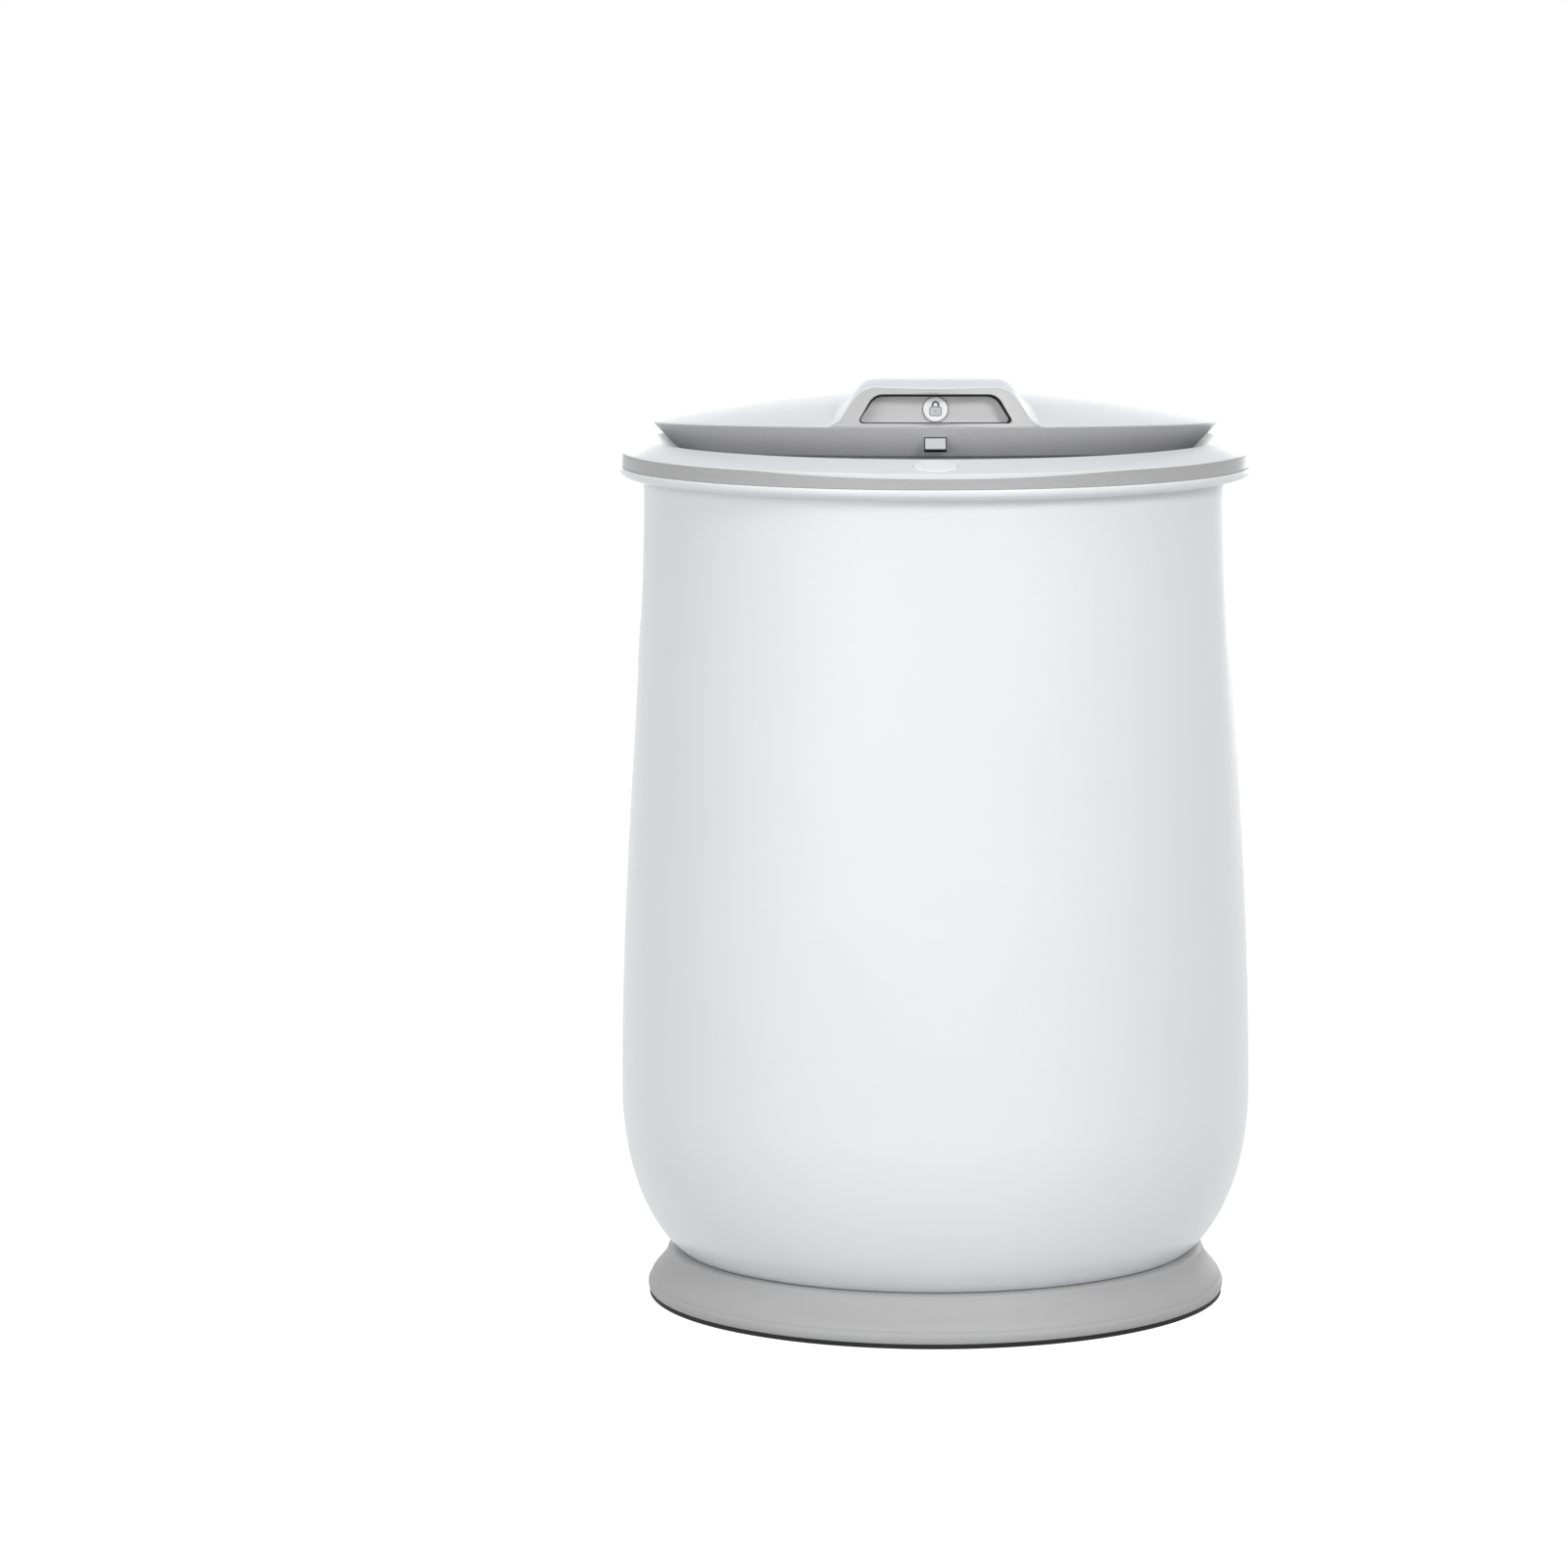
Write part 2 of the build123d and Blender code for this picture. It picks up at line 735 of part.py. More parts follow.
def status_leds():
    """Two lamps beside the switch, which light the key from below."""
    z = -board_drop + lamp_size[2] / 2
    return group(on_board(Box(*lamp_size), x, 0, z) for x in (-lamp_x, lamp_x))


def control_connector():
    """Plug connector under the control board."""
    z = -board_drop - board_thickness - connector_size[2] / 2
    return on_board(Box(*connector_size), connector_x, connector_y, z)


# ---------------------------------------------------------------- wiring
def cable_end():
    """Where the control cable meets its connector, and its direction there."""
    plane = board_plane()
    drop = board_drop + board_thickness + connector_size[2]
    point = plane.origin + plane.x_dir * connector_x + plane.y_dir * connector_y - plane.z_dir * drop
    return point, plane.z_dir


def cable_through_deck():
    """Point where the control cable passes the collar's deck."""
    point, direction = cable_end()
    return point - direction * cable_lead


def control_cable():
    """Cable from the power board up the front of the barrel to the control board."""
    point, _ = cable_end()
    below = cable_through_deck()
    riser_y = below.Y + 0.8
    start_y = power_board_y - power_board_size[1] / 2 + 8
    route = [
        (connector_x, start_y, board_face_z),
        (connector_x, start_y, board_face_z + 14),
        (connector_x, start_y - 46, board_face_z + 34),
        (connector_x, riser_y + 32, 56),
        (connector_x, riser_y, 92),
        (connector_x, riser_y, collar_deck_z - 30),
        (below.X, below.Y, below.Z),
        (point.X, point.Y, point.Z),
    ]
    return wire_tube(route, cable_r)


def sensor_wires():
    """Leads from the terminal block up to the thermostat and the fuse."""
    top = board_face_z + terminal_size[2]
    under = drum_floor_z
    to_thermostat = [
        (-26, terminal_spot[1], top),
        (-26, terminal_spot[1], 50),
        (10, 30, 58),
        (thermostat_x - 3, 0, 58),
        (thermostat_x - 3, 0, under - 2 * thermostat_step),
    ]
    to_fuse = [
        (-20, terminal_spot[1], top),
        (-20, terminal_spot[1], 40),
        (-30, 14, 56),
        (fuse_spot[0], fuse_spot[1], 62),
        (fuse_spot[0], fuse_spot[1], under - sensor_drop - fuse_r),
    ]
    return group(wire_tube(route, lead_r) for route in (to_thermostat, to_fuse))


# ---------------------------------------------------------------- drum and heating
def inner_drum():
    """Spun aluminium drum with a flange at its mouth."""
    flange_r = drum_mouth_r + drum_flange
    corners = [
        (0, drum_floor_z),
        (drum_floor_r + drum_wall, drum_floor_z),
        (drum_mouth_r + drum_wall, collar_deck_z),
        (flange_r, collar_deck_z),
        (flange_r, collar_deck_z + drum_wall),
        (drum_mouth_r, collar_deck_z + drum_wall),
        (drum_floor_r, drum_floor_z + drum_wall),
        (0, drum_floor_z + drum_wall),
    ]
    bend = drum_corner_r
    return turned(corners, [0, bend + drum_wall, 0, 0, 0, drum_lip_round, bend, 0])


def sleeve(span, inner_gap, thickness):
    """Tapered wrap round the drum over a span of heights."""
    low, high = span
    low_r = drum_outer_r(low) + inner_gap
    high_r = drum_outer_r(high) + inner_gap
    return turned([(low_r, low), (low_r + thickness, low), (high_r + thickness, high), (high_r, high)])


def heater_mat():
    """Silicone heating mat round the drum."""
    return sleeve(heater_z, heater_gap, heater_thickness)


def insulation_wrap():
    """Felt lagging round the heating mat."""
    return sleeve(lagging_z, heater_gap + heater_thickness + clearance, lagging_thickness)


def drum_cradle():
    """Cone with windows that carries the drum's floor."""
    low = barrel_floor_top_z
    high = drum_floor_z
    wall = cradle_wall
    cone = turned(
        [
            (barrel_floor_inner_r + 1, low),
            (cradle_foot_r + wall, low),
            (cradle_foot_r + wall, low + wall),
            (cradle_foot_r, low + wall),
            (cradle_top_r, high - wall),
            (cradle_top_r - wall, high),
            (cradle_top_r - cradle_shelf, high),
            (cradle_top_r - cradle_shelf, high - wall),
            (cradle_top_r - wall, high - wall),
            (cradle_foot_r - wall, low + wall),
            (barrel_floor_inner_r + 1, low + wall),
        ]
    )
    half = cradle_window_width / 2
    window = block(
        (cradle_top_r - 20, cradle_top_r + 20),
        (-half, half),
        (low + cradle_window_frame, high - cradle_window_frame),
    )
    for turn in range(cradle_windows):
        cone -= Rot(0, 0, (turn + 0.5) * 360 / cradle_windows) * window
    return cone


def thermostat():
    """Disc thermostat clamped under the drum's floor."""
    cap_r, body_r = thermostat_r
    mid = drum_floor_z - thermostat_step
    cap = post(thermostat_x, 0, cap_r, mid, drum_floor_z)
    body = post(thermostat_x, 0, body_r, mid - thermostat_step, mid)
    reach, half = thermostat_ears
    ears = block((thermostat_x - reach, thermostat_x + reach), (-half, half), (drum_floor_z - 1, drum_floor_z))
    return cap + body + ears


def thermal_fuse():
    """One-shot thermal fuse in its clip under the drum's floor."""
    x, y = fuse_spot
    half_x, half_y = fuse_clip
    clip = block((x - half_x, x + half_x), (y - half_y, y + half_y), (drum_floor_z - 1, drum_floor_z))
    ends = (y - fuse_length / 2, y + fuse_length / 2)
    return clip + along_y(fuse_r, x, ends, drum_floor_z - sensor_drop)


def temperature_probe():
    """Probe in a lug under the drum's floor."""
    half_x, half_y = probe_lug
    lug = block((-half_x, half_x), (probe_y - half_y, probe_y + half_y), (drum_floor_z - 1, drum_floor_z))
    ends = (probe_y - probe_length / 2, probe_y + probe_length / 2)
    return lug + along_y(probe_r, 0, ends, drum_floor_z - sensor_drop)


# ---------------------------------------------------------------- power section
def power_board_corners():
    """Places of the board's posts."""
    half_x = power_board_size[0] / 2 - power_post_inset
    half_y = power_board_size[1] / 2 - power_post_inset
    return [(sx * half_x, power_board_y + sy * half_y) for sx in (-1, 1) for sy in (-1, 1)]


def on_power_board(spot, size):
    """Box component standing on the main board."""
    half_x, half_y = size[0] / 2, size[1] / 2
    x, y = spot
    return block((x - half_x, x + half_x), (y - half_y, y + half_y), (board_face_z, board_face_z + size[2]))


def power_board():
    """Main board on the base plate."""
    half_x, half_y = power_board_size[0] / 2, power_board_size[1] / 2
    return block(
        (-half_x, half_x),
        (power_board_y - half_y, power_board_y + half_y),
        (board_face_z - board_thickness, board_face_z),
    )


def transformer():
    """Small supply transformer: bobbin between core halves."""
    return on_power_board(transformer_spot, core_size) + on_power_board(transformer_spot, bobbin_size)


def relay():
    """Heater relay."""
    return on_power_board(relay_spot, relay_size)


def capacitor():
    """Smoothing capacitor."""
    return post(*capacitor_spot, capacitor_r, board_face_z, board_face_z + capacitor_height)


def terminal_block():
    """Screw terminals for the mains and the heater."""
    body = on_power_board(terminal_spot, terminal_size)
    top = board_face_z + terminal_size[2]
    for x in terminal_holes:
        body -= post(x, terminal_spot[1], screw_r, top - 3, top + 1)
    return body


def power_inlet():
    """Two-pin appliance inlet in the base's rear wall."""
    low_y = inlet_face_y - inlet_depth
    half_x, half_z = inlet_width / 2, inlet_height / 2
    body = block((-half_x, half_x), (low_y, inlet_face_y), (inlet_z - half_z, inlet_z + half_z))
    rounds = SlotOverall(socket_width, socket_height)
    socket = Pos(0, inlet_face_y, inlet_z) * (Rot(90, 0, 0) * extrude(rounds, socket_depth))
    support = block((-half_x, half_x), (low_y, low_y + inlet_foot), (plate_top_z, inlet_z))
    return body + support - socket


def inlet_pins():
    """Contact pins of the inlet."""
    back = inlet_face_y - socket_depth
    half = inlet_pin_pitch / 2
    ends = (back, inlet_face_y - inlet_pin_short)
    return group(along_y(inlet_pin_r, x, ends, inlet_z) for x in (-half, half))


# ---------------------------------------------------------------- hinge
def hinge_screw_spots():
    """Places of the screws that hold the hinge bracket."""
    return [(-hinge_screw_x, hinge_screw_y), (hinge_screw_x, hinge_screw_y)]


def screw_seat_z():
    """Height of the hinge screws' seats."""
    return slope_z(hinge_screw_y) + saddle_rise - 1


def hinge_bracket():
    """Two ears on a saddle at the back of the rim."""
    half = ear_inner_x + ear_width
    back_y = crown_r + saddle_reach
    back_z = slope_z(back_y) + saddle_rise
    foot_z = band_top_z
    saddle = across_x(
        [
            (crown_r + 0.4, foot_z),
            (crown_r + 0.4, crown_z + 0.9),
            (crown_r + 4.8, crown_z + 0.7),
            (hinge_screw_y + 0.5, slope_z(hinge_screw_y + 0.5) + 3.3),
            (back_y, back_z),
            (back_y, foot_z),
        ],
        half,
    )
    leg = across_x(
        [
            (crown_r, foot_z),
            (crown_r, crown_z + 1.1),
            (hinge_y - 4.6, hinge_z - 3.8),
            (hinge_y, hinge_z),
            (hinge_y + ear_r - touch, hinge_z - 1.0),
            (hinge_y + ear_r + 1.0, hinge_z - 3.5),
            (back_y, back_z),
            (back_y, foot_z),
        ],
        ear_width / 2,
    )
    ear = leg + along_x(ear_r, ear_width / 2, hinge_y, hinge_z)
    bracket = saddle
    for side in (-1, 1):
        bracket += Pos(side * (ear_inner_x + ear_width / 2), 0, 0) * ear
    bracket -= along_x(hinge_pin_r, half - pin_end + clearance, hinge_y, hinge_z)
    for x, y in hinge_screw_spots():
        bracket -= post(x, y, screw_r + clearance, collar_deck_z, hinge_z + ear_r)
        bracket -= post(x, y, screw_head_r + clearance, screw_seat_z(), hinge_z + ear_r)
    return bracket - rim_mass()


def hinge_pin():
    """Steel pin, held in the ears."""
    return along_x(hinge_pin_r, ear_inner_x + ear_width - pin_end, hinge_y, hinge_z)


def hinge_screws():
    """Screws through the bracket and the bezel into the collar's pillars."""
    seat = screw_seat_z()
    screws = []
    for x, y in hinge_screw_spots():
        head = post(x, y, screw_head_r, seat, seat + screw_head - touch)
        screws.append(head + post(x, y, screw_r - running, seat - boss_height + 1, seat + touch))
    return group(screws)


# ---------------------------------------------------------------- lid, drawn shut
def dome_solid(drop):
    """Spherical cap of the lid, lowered by drop."""
    ball_z = lid_plane_z + lid_edge + dome_rise - sphere_r
    cap = Pos(0, 0, ball_z) * Sphere(sphere_r - drop)
    return cap & post(0, 0, lid_r, lid_plane_z, lid_plane_z + 2 * dome_rise)


def front_cone(inset):
    """Everything behind the fascia's leaning face, inset from it."""
    lean = tan(radians(fascia_lean))
    top = 2 * hood_crest
    low_r = lid_r - fascia_set_back - inset
    top_z = lid_plane_z + top
    return turned([(0, lid_plane_z), (low_r, lid_plane_z), (low_r - top * lean, top_z), (0, top_z)])


def hood_face(behind, height, widen, inset):
    """Bell-shaped section of the hood at a distance behind the lid's front."""
    foot = hood_foot_half - inset
    top = hood_top_half + widen - 0.4 * inset
    high = height - inset
    level, upright = hood_foot_pull
    points = [(foot, 0), (foot - level, upright * high), (top + hood_top_pull, high), (top, high)]
    right = Bezier(*points)
    left = Bezier(*[(-x, z) for x, z in reversed(points)])
    outline = right + Line((top, high), (-top, high)) + left + Line((-foot, 0), (foot, 0))
    return Pos(0, behind - lid_r, lid_plane_z) * (Rot(90, 0, 0) * make_face(outline))


def hood_solid(inset):
    """Hood over the grip, inset from the outside."""
    return loft([hood_face(behind, height, widen, inset) for behind, height, widen in hood_sections])


def window_face(grow):
    """Window outline, grown by an allowance, in the x-z plane."""
    low = window_sill - grow
    high = window_sill + window_height + grow
    half_sill = window_half_sill + window_sill_grow * grow
    half_head = window_half_head + window_head_grow * grow
    corners = [(-half_sill, low), (half_sill, low), (half_head, high), (-half_head, high)]
    radii = [window_sill_corner + grow] * 2 + [window_head_corner + grow] * 2
    return make_face(FilletPolyline(*corners, radius=radii, close=True))


def window_prism(grow, front_y, back_y):
    """Window outline carried from front to back."""
    prism = extrude(window_face(grow), back_y - front_y)
    return Pos(0, back_y, lid_plane_z) * (Rot(90, 0, 0) * prism)


def pocket_outside(grow):
    """Outside of the grip pocket, grown by an allowance."""
    back = pocket_back_y + pocket_back_wall + grow
    return window_prism(pocket_wall + clearance + grow, -lid_r - 1, back) & front_cone(fascia_wall)


def lid_cover():
    """White domed cover with the hood over the grip, and screw bosses that reach the liner."""
    outside = dome_solid(0) + (hood_solid(0) & front_cone(0))
    cover = outside - (dome_solid(dome_wall) + hood_solid(hood_wall))
    cover -= hood_solid(0) - front_cone(fascia_wall)
    cover -= pocket_outside(clearance - touch)
    under_dome = dome_solid(dome_wall / 2) + layer(collar_deck_z, lid_plane_z)
    for x, y in around(4, lid_boss_circle, 45):
        cover += post(x, y, lid_boss_r, liner_top_z, lid_plane_z + dome_rise) & under_dome
        cover -= post(x, y, screw_r, liner_top_z - 1, liner_top_z + boss_height - 2)
    return cover


def handle_fascia():
    """Grey face of the handle with its window."""
    face = (hood_solid(0) & front_cone(0)) - front_cone(fascia_wall)
    face &= block((-lid_r, lid_r), (-2 * lid_r, -lid_r / 2), (lid_plane_z + 0.02, lid_plane_z + 2 * hood_crest))
    return face - window_prism(0, -1.1 * lid_r, -0.8 * lid_r)


def grip_pocket():
    """Grey pocket behind the window, with the badge's hole in its back."""
    pocket = pocket_outside(0) - window_prism(clearance, -1.1 * lid_r, pocket_back_y)
    back = (pocket_back_y - 1, pocket_back_y + 2 * pocket_back_wall)
    return pocket - along_y(badge_r + badge_gap, 0, back, badge_z)


def bolt_window():
    """Hole in the skirt for the latch bolt."""
    half = bolt_width / 2 + bolt_gap
    height = (bolt_low_z - bolt_gap, bolt_high_z + bolt_gap)
    return block((-half, half), (-lid_r, pocket_back_y + catch_reach), height)


def lid_skirt():
    """Grey cone under the lid's edge."""
    flange_low = lid_plane_z - skirt_wall
    flange_r = lid_r - skirt_flange
    skirt = turned(
        [
            (lid_r, lid_plane_z),
            (lid_r - skirt_depth, liner_low_z),
            (lid_r - skirt_depth - skirt_level_wall, liner_low_z),
            (lid_r - skirt_wall - skirt_level_wall, flange_low),
            (flange_r, flange_low),
            (flange_r, lid_plane_z),
        ],
        [skirt_edge_round, skirt_foot_round, 0, 0, 0, 0],
    )
    return skirt - bolt_window()


def lid_liner():
    """Inner plate of the lid."""
    plate = post(0, 0, liner_r, liner_low_z, liner_top_z)
    for x, y in around(4, lid_boss_circle, 45):
        plate -= post(x, y, screw_r + clearance, liner_low_z - 1, liner_top_z + 1)
    return plate


def lid_insulation():
    """Foam disc inside the lid."""
    return post(0, 0, foam_r, liner_top_z, liner_top_z + foam_height)


def lid_seal():
    """Silicone seal under the liner."""
    outer = drum_mouth_r + seal_width - seal_overlap
    low = liner_low_z - seal_height
    corners = [(outer - seal_width, low), (outer, low), (outer, liner_low_z), (outer - seal_width, liner_low_z)]
    return turned(corners, [0.8, 0.8, 0, 0])


def lid_screws():
    """Screws through the liner into the cover's bosses."""
    return group(screw_up(x, y, liner_low_z, boss_height - 3) for x, y in around(4, lid_boss_circle, 45))


def hinge_leaf():
    """Knuckle and tongue on the back of the lid."""
    half = ear_inner_x - hinge_side_gap
    end_y = hinge_y - leaf_reach
    tongue = across_x(
        [
            (hinge_y, hinge_z + barrel_knuckle_r),
            (end_y + 2.5, hinge_z + 0.4),
            (end_y, hinge_z - 1.5),
            (end_y, hinge_z - hinge_above + 0.5),
            (hinge_y, hinge_z - barrel_knuckle_r),
        ],
        half,
        [0, 2.0, 1.0, 0, 0],
    )
    leaf = along_x(barrel_knuckle_r, half, hinge_y, hinge_z) + tongue
    leaf -= along_x(hinge_pin_r + running, 2 * half, hinge_y, hinge_z)
    return leaf - dome_solid(0) - layer(lid_plane_z - 2 * barrel_knuckle_r, lid_plane_z + lid_edge)


# ---------------------------------------------------------------- latch, drawn in the shut lid
def release_button():
    """Round badge that slides through the pocket's back."""
    disc = along_y(badge_r, 0, (pocket_back_y - badge_proud, web_front_y), badge_z)
    return chamfer(disc.edges().filter_by(GeomType.CIRCLE).sort_by(Axis.Y)[0], badge_chamfer)


def latch_carriage():
    """Slider behind the badge, with the bolt at its foot."""
    half = (-bolt_width / 2, bolt_width / 2)
    web_back_y = web_front_y + carriage_web
    web = block(half, (web_front_y, web_back_y), (bolt_low_z, badge_z + carriage_rise))
    bolt = block(half, (bolt_set_back - lid_r, web_back_y), (bolt_low_z, bolt_high_z))
    return web + chamfer(bolt.edges().filter_by(Axis.X).sort_by(Axis.Y)[0], bolt_chamfer)


def latch_spring():
    """Return spring between the carriage and its guide."""
    coil = Helix(spring_pitch, spring_length - clearance - touch - spring_wire, spring_r)
    start = Plane(origin=coil @ 0, z_dir=coil % 0)
    wound = sweep(start * Circle(spring_wire / 2), path=coil, is_frenet=True)
    begin = guide_back_y - 2 * touch - spring_wire / 2
    return Pos(0, begin, badge_z) * Rot(90, 0, 0) * wound


def latch_guide():
    """Channel on the liner that the carriage slides in, with the spring's seat."""
    inner = bolt_width / 2 + clearance
    outer = inner + guide_wall
    front = web_front_y - guide_lead
    back = guide_back_y + guide_wall + touch
    guide = block((-outer, outer), (front, back), (liner_top_z, bolt_high_z + 1))
    guide -= block((-inner, inner), (front - 1, guide_back_y), (bolt_low_z - clearance, badge_z))
    seat = block((-outer, outer), (guide_back_y, back), (liner_top_z, badge_z + carriage_rise + clearance))
    stub = along_y(spring_r - spring_wire, 0, (guide_back_y - stub_length, guide_back_y), badge_z)
    return guide + seat + stub


# ---------------------------------------------------------------- write the parts
def raised(shape):
    """Turn a piece of the shut lid to where it stands at rest."""
    return Pos(0, hinge_y, hinge_z) * Rot(-lid_ajar, 0, 0) * Pos(0, -hinge_y, -hinge_z) * shape


fixed_parts = [
    foot_ring, base_plate, base_shell, base_screws, barrel_screws, outer_shell, collar_ring, rim_band,
    rim_bezel, tact_switch, control_board, status_leds, control_connector, control_cable, sensor_wires,
    inner_drum, heater_mat, insulation_wrap, drum_cradle, thermostat, thermal_fuse, temperature_probe,
    power_board, transformer, relay, capacitor, terminal_block, power_inlet, inlet_pins,
    hinge_bracket, hinge_pin, hinge_screws, power_button, switch_plunger,
]
lid_parts = [
    lid_cover, handle_fascia, grip_pocket, lid_skirt, lid_liner, lid_insulation, lid_seal, lid_screws,
    hinge_leaf, latch_guide, release_button, latch_carriage, latch_spring,
]

for make in fixed_parts:
    export_step(make(), f"parts/{make.__name__}.step")
for make in lid_parts:
    export_step(raised(make()), f"parts/{make.__name__}.step")
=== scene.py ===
"""Looks of the towel warmer bucket: white and grey moulded ABS, a spun aluminium drum and a rubber foot."""
import json
import math

import bmesh
import bpy
from mathutils import Matrix, Vector


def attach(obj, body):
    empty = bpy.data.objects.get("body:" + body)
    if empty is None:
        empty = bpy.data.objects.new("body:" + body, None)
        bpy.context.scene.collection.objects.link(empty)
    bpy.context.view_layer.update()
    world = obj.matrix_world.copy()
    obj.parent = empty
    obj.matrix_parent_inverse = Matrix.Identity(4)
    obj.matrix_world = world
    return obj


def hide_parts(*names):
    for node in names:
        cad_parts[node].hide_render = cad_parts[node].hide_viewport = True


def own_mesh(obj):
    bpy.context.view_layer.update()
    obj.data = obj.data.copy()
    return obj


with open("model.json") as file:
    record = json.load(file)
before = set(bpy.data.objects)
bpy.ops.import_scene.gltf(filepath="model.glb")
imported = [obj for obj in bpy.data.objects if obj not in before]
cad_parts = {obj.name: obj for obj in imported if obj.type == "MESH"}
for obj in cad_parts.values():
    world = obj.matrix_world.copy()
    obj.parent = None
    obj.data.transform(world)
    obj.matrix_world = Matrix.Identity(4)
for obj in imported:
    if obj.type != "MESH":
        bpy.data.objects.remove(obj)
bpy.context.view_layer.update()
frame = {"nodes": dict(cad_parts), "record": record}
nodes = frame["nodes"]

MM = 0.001
CREASE = 34.0  # degrees; an edge sharper than this stays sharp
WELD_MM = 0.001  # points closer than this become one

# ---------------------------------------------------------------- driving dimensions, in mm
# Lid
LID_R = 147.5  # edge of the lid
LID_PLANE = 454.509  # height of the lid's edge when shut
LID_EDGE = 0.5  # height of the cover at its edge, over that plane
DOME_RISE = 16.2
DOME_WALL = 2.4
HINGE = (0.0, 150.0, 461.009)
AJAR = 3.0  # degrees that the lid stands open at rest
SKIRT_DEPTH = 15.0
SKIRT_WALL = 2.2
SKIRT_BORE_R = 134.0
SKIRT_RUN = 13.6  # length of the straight cone, across and down

# Handle's face, and the bell-shaped hood over it
FASCIA_R = 147.3  # cone that the face lies on, at the lid's edge
FASCIA_LEAN = math.tan(math.radians(17.6))
FASCIA_WALL = 2.5
FASCIA_LIP = 0.9  # round of the face's edge at the window
FASCIA_GAP = 0.15  # between the face and the hood over it
HOOD_FOOT = 56.0  # half widths of the hood
HOOD_TOP = 27.5
FOOT_PULL = 13.0  # how far the bell's foot runs out level
FOOT_RISE = 0.03  # share of the bell's height that the foot gains on the way
TOP_PULL = 18.0  # how far the bell's top runs out level
HOOD_FILLET = (1.6, 9.0)  # fillet between hood and dome, at the front and further back
HOOD_FILLET_RUN = 28.0  # length over which that fillet grows

# The hood's height and widening at stations along the lid, front to back
HOOD_STATIONS = [
    (-154.0, 16.6, 0.0),
    (-140.0, 20.0, 0.0),
    (-125.0, 23.1, 1.0),
    (-108.0, 24.2, 1.5),
    (-86.0, 22.8, 0.0),
    (-62.0, 18.2, -4.0),
    (-40.0, 12.0, -9.0),
    (-12.0, 3.0, -9.0),
]

# Finger window, the pocket behind it and, between them, a black ring that paints the shadow round the window
WINDOW_SILL = 1.9  # heights over the lid's plane
WINDOW_HEAD = 16.4
WINDOW_HALF_SILL = 39.3
WINDOW_HALF_HEAD = 30.9
SILL_ROUND = 1.6
HEAD_ROUND = 8.0
POCKET_BACK = -131.0
POCKET_INSET = -0.3  # pocket's wall just inside the window
POCKET_FILLET = 0.6
POCKET_FLANGE = 1.7  # flange round the pocket's mouth
POCKET_WALL = 2.0
# Black ring of painted shadow: its depths behind the face and how wide it shows; widest along the head and at
# the right, where the shade falls
PAINTED_SHADOW_FRONT = 2.55  # depths behind the face
PAINTED_SHADOW_BACK = 3.5
PAINTED_SHADOW_SILL = (0.45, 0.65, 1.5)  # how wide it shows along the sill, and at the sill's two ends
PAINTED_SHADOW_HEAD = (1.15, 0.7, 1.3)
PAINTED_SHADOW_ROUNDS = [1.4, 1.6, 7.4, 7.4]  # rounds of its four corners, sill first

# Badge, latch and the latch's return spring
BADGE_R = 6.3
BADGE_GAP = 0.25
BADGE_HEIGHT = 8.9
BADGE_FRONT = -133.2
BADGE_BACK = -125.7
BADGE_ROLL = 0.8
PADLOCK_DROP = 1.0  # middle of the padlock's body under the badge's middle
BOLT_HALF = 5.2
BOLT_Z = (-11.1, -5.5)  # bolt's underside and top from the lid's edge
BOLT_TIP = -144.5
BOLT_ROOM = 0.45  # clearance in the skirt's window, and below the bolt there
BOLT_ROOM_BELOW = 1.6
BOLT_WINDOW_Y = (-148.5, -117.0)
LATCH_WEB = (-125.7, -122.2)  # front and back of the slider's upright web
SPRING_HEIGHT = 9.2
SPRING_BACK = -112.4
SPRING_FRONT = -122.0
SPRING_WIRE = 0.4  # radii of the wire and of the coil
SPRING_COIL = 3.2
SPRING_TURNS = 4.4

# Barrel
SEAM_Z = 25.8
SEAM_R = 136.1
SEAM_GAP = (1.3, 0.45)  # the dark line at the barrel's foot, depth and height
BELLY_R = 166.3
BELLY_Z = 109.5
CURVE_R = 47.55  # half axes of the curve under the belly
CURVE_Z = 89.9
BARREL_TOP_R = 153.6
BARREL_TOP_Z = 433.8
BARREL_WALL = 2.6
BARREL_FLOOR_R = 111.6

# Base and foot
BASE_R = 152.3
BASE_BORE_R = 121.6
BASE_WALL = 2.6
BASE_INSIDE = [(139.8, 20.7), (142.4, 14.9), (149.0, 10.2)]  # inner side of the flare, top to foot
BASE_SHELF_R = 138.2
FOOT_Z = 2.4
INLET_HALF = 12.3  # room for the inlet at the back: half width, depth and height
INLET_Y = (120.0, 160.0)
INLET_Z = (7.8, 21.4)

# Collar
COLLAR_R = 165.7
COLLAR_TOP_Z = 440.0
COLLAR_LEDGE_R = 160.2
COLLAR_DECK_Z = 436.0
COLLAR_BORE_R = 127.8
COLLAR_WALL = 2.5
UPSTAND_R = 162.0
UPSTAND_RISE = 2.0
SPIGOT_GAP = 0.3
SPIGOT_DEPTH = 9.8

# Rim: band and bezel
RIM_R = 164.4
BAND_WALL = 2.2
BAND_TOP_Z = 447.2
DIP = (2.0, 92.0)  # how far the bezel comes down over the band at the front, and half its width
CROWN_R = 149.2
RIM_LEAN = math.radians(23.5)
RIM_SLOPE = math.tan(RIM_LEAN)
RIM_LIP_Z = 447.9
FUNNEL_FOOT = (131.69, 437.0)
FUNNEL_WALL = 3.1
CROWN_UNDER = (148.6, 450.8)  # inner corner under the crown
SLOPE_UNDER_Z = 448.4
BEZEL_LEG = (157.7, 159.9)  # radii of the leg that stands on the collar
BUTTON_CIRCLE = 156.2
BUTTON_HALF = (11.2, 6.1)
BUTTON_GAP = 0.14
BUTTON_ROLL = 0.5
SLOT_ROOM = 0.8  # the bolt's slot in the funnel: clearance, depth and height
SLOT_Y = (-150.0, -135.2)
SLOT_Z = (442.1, 450.3)


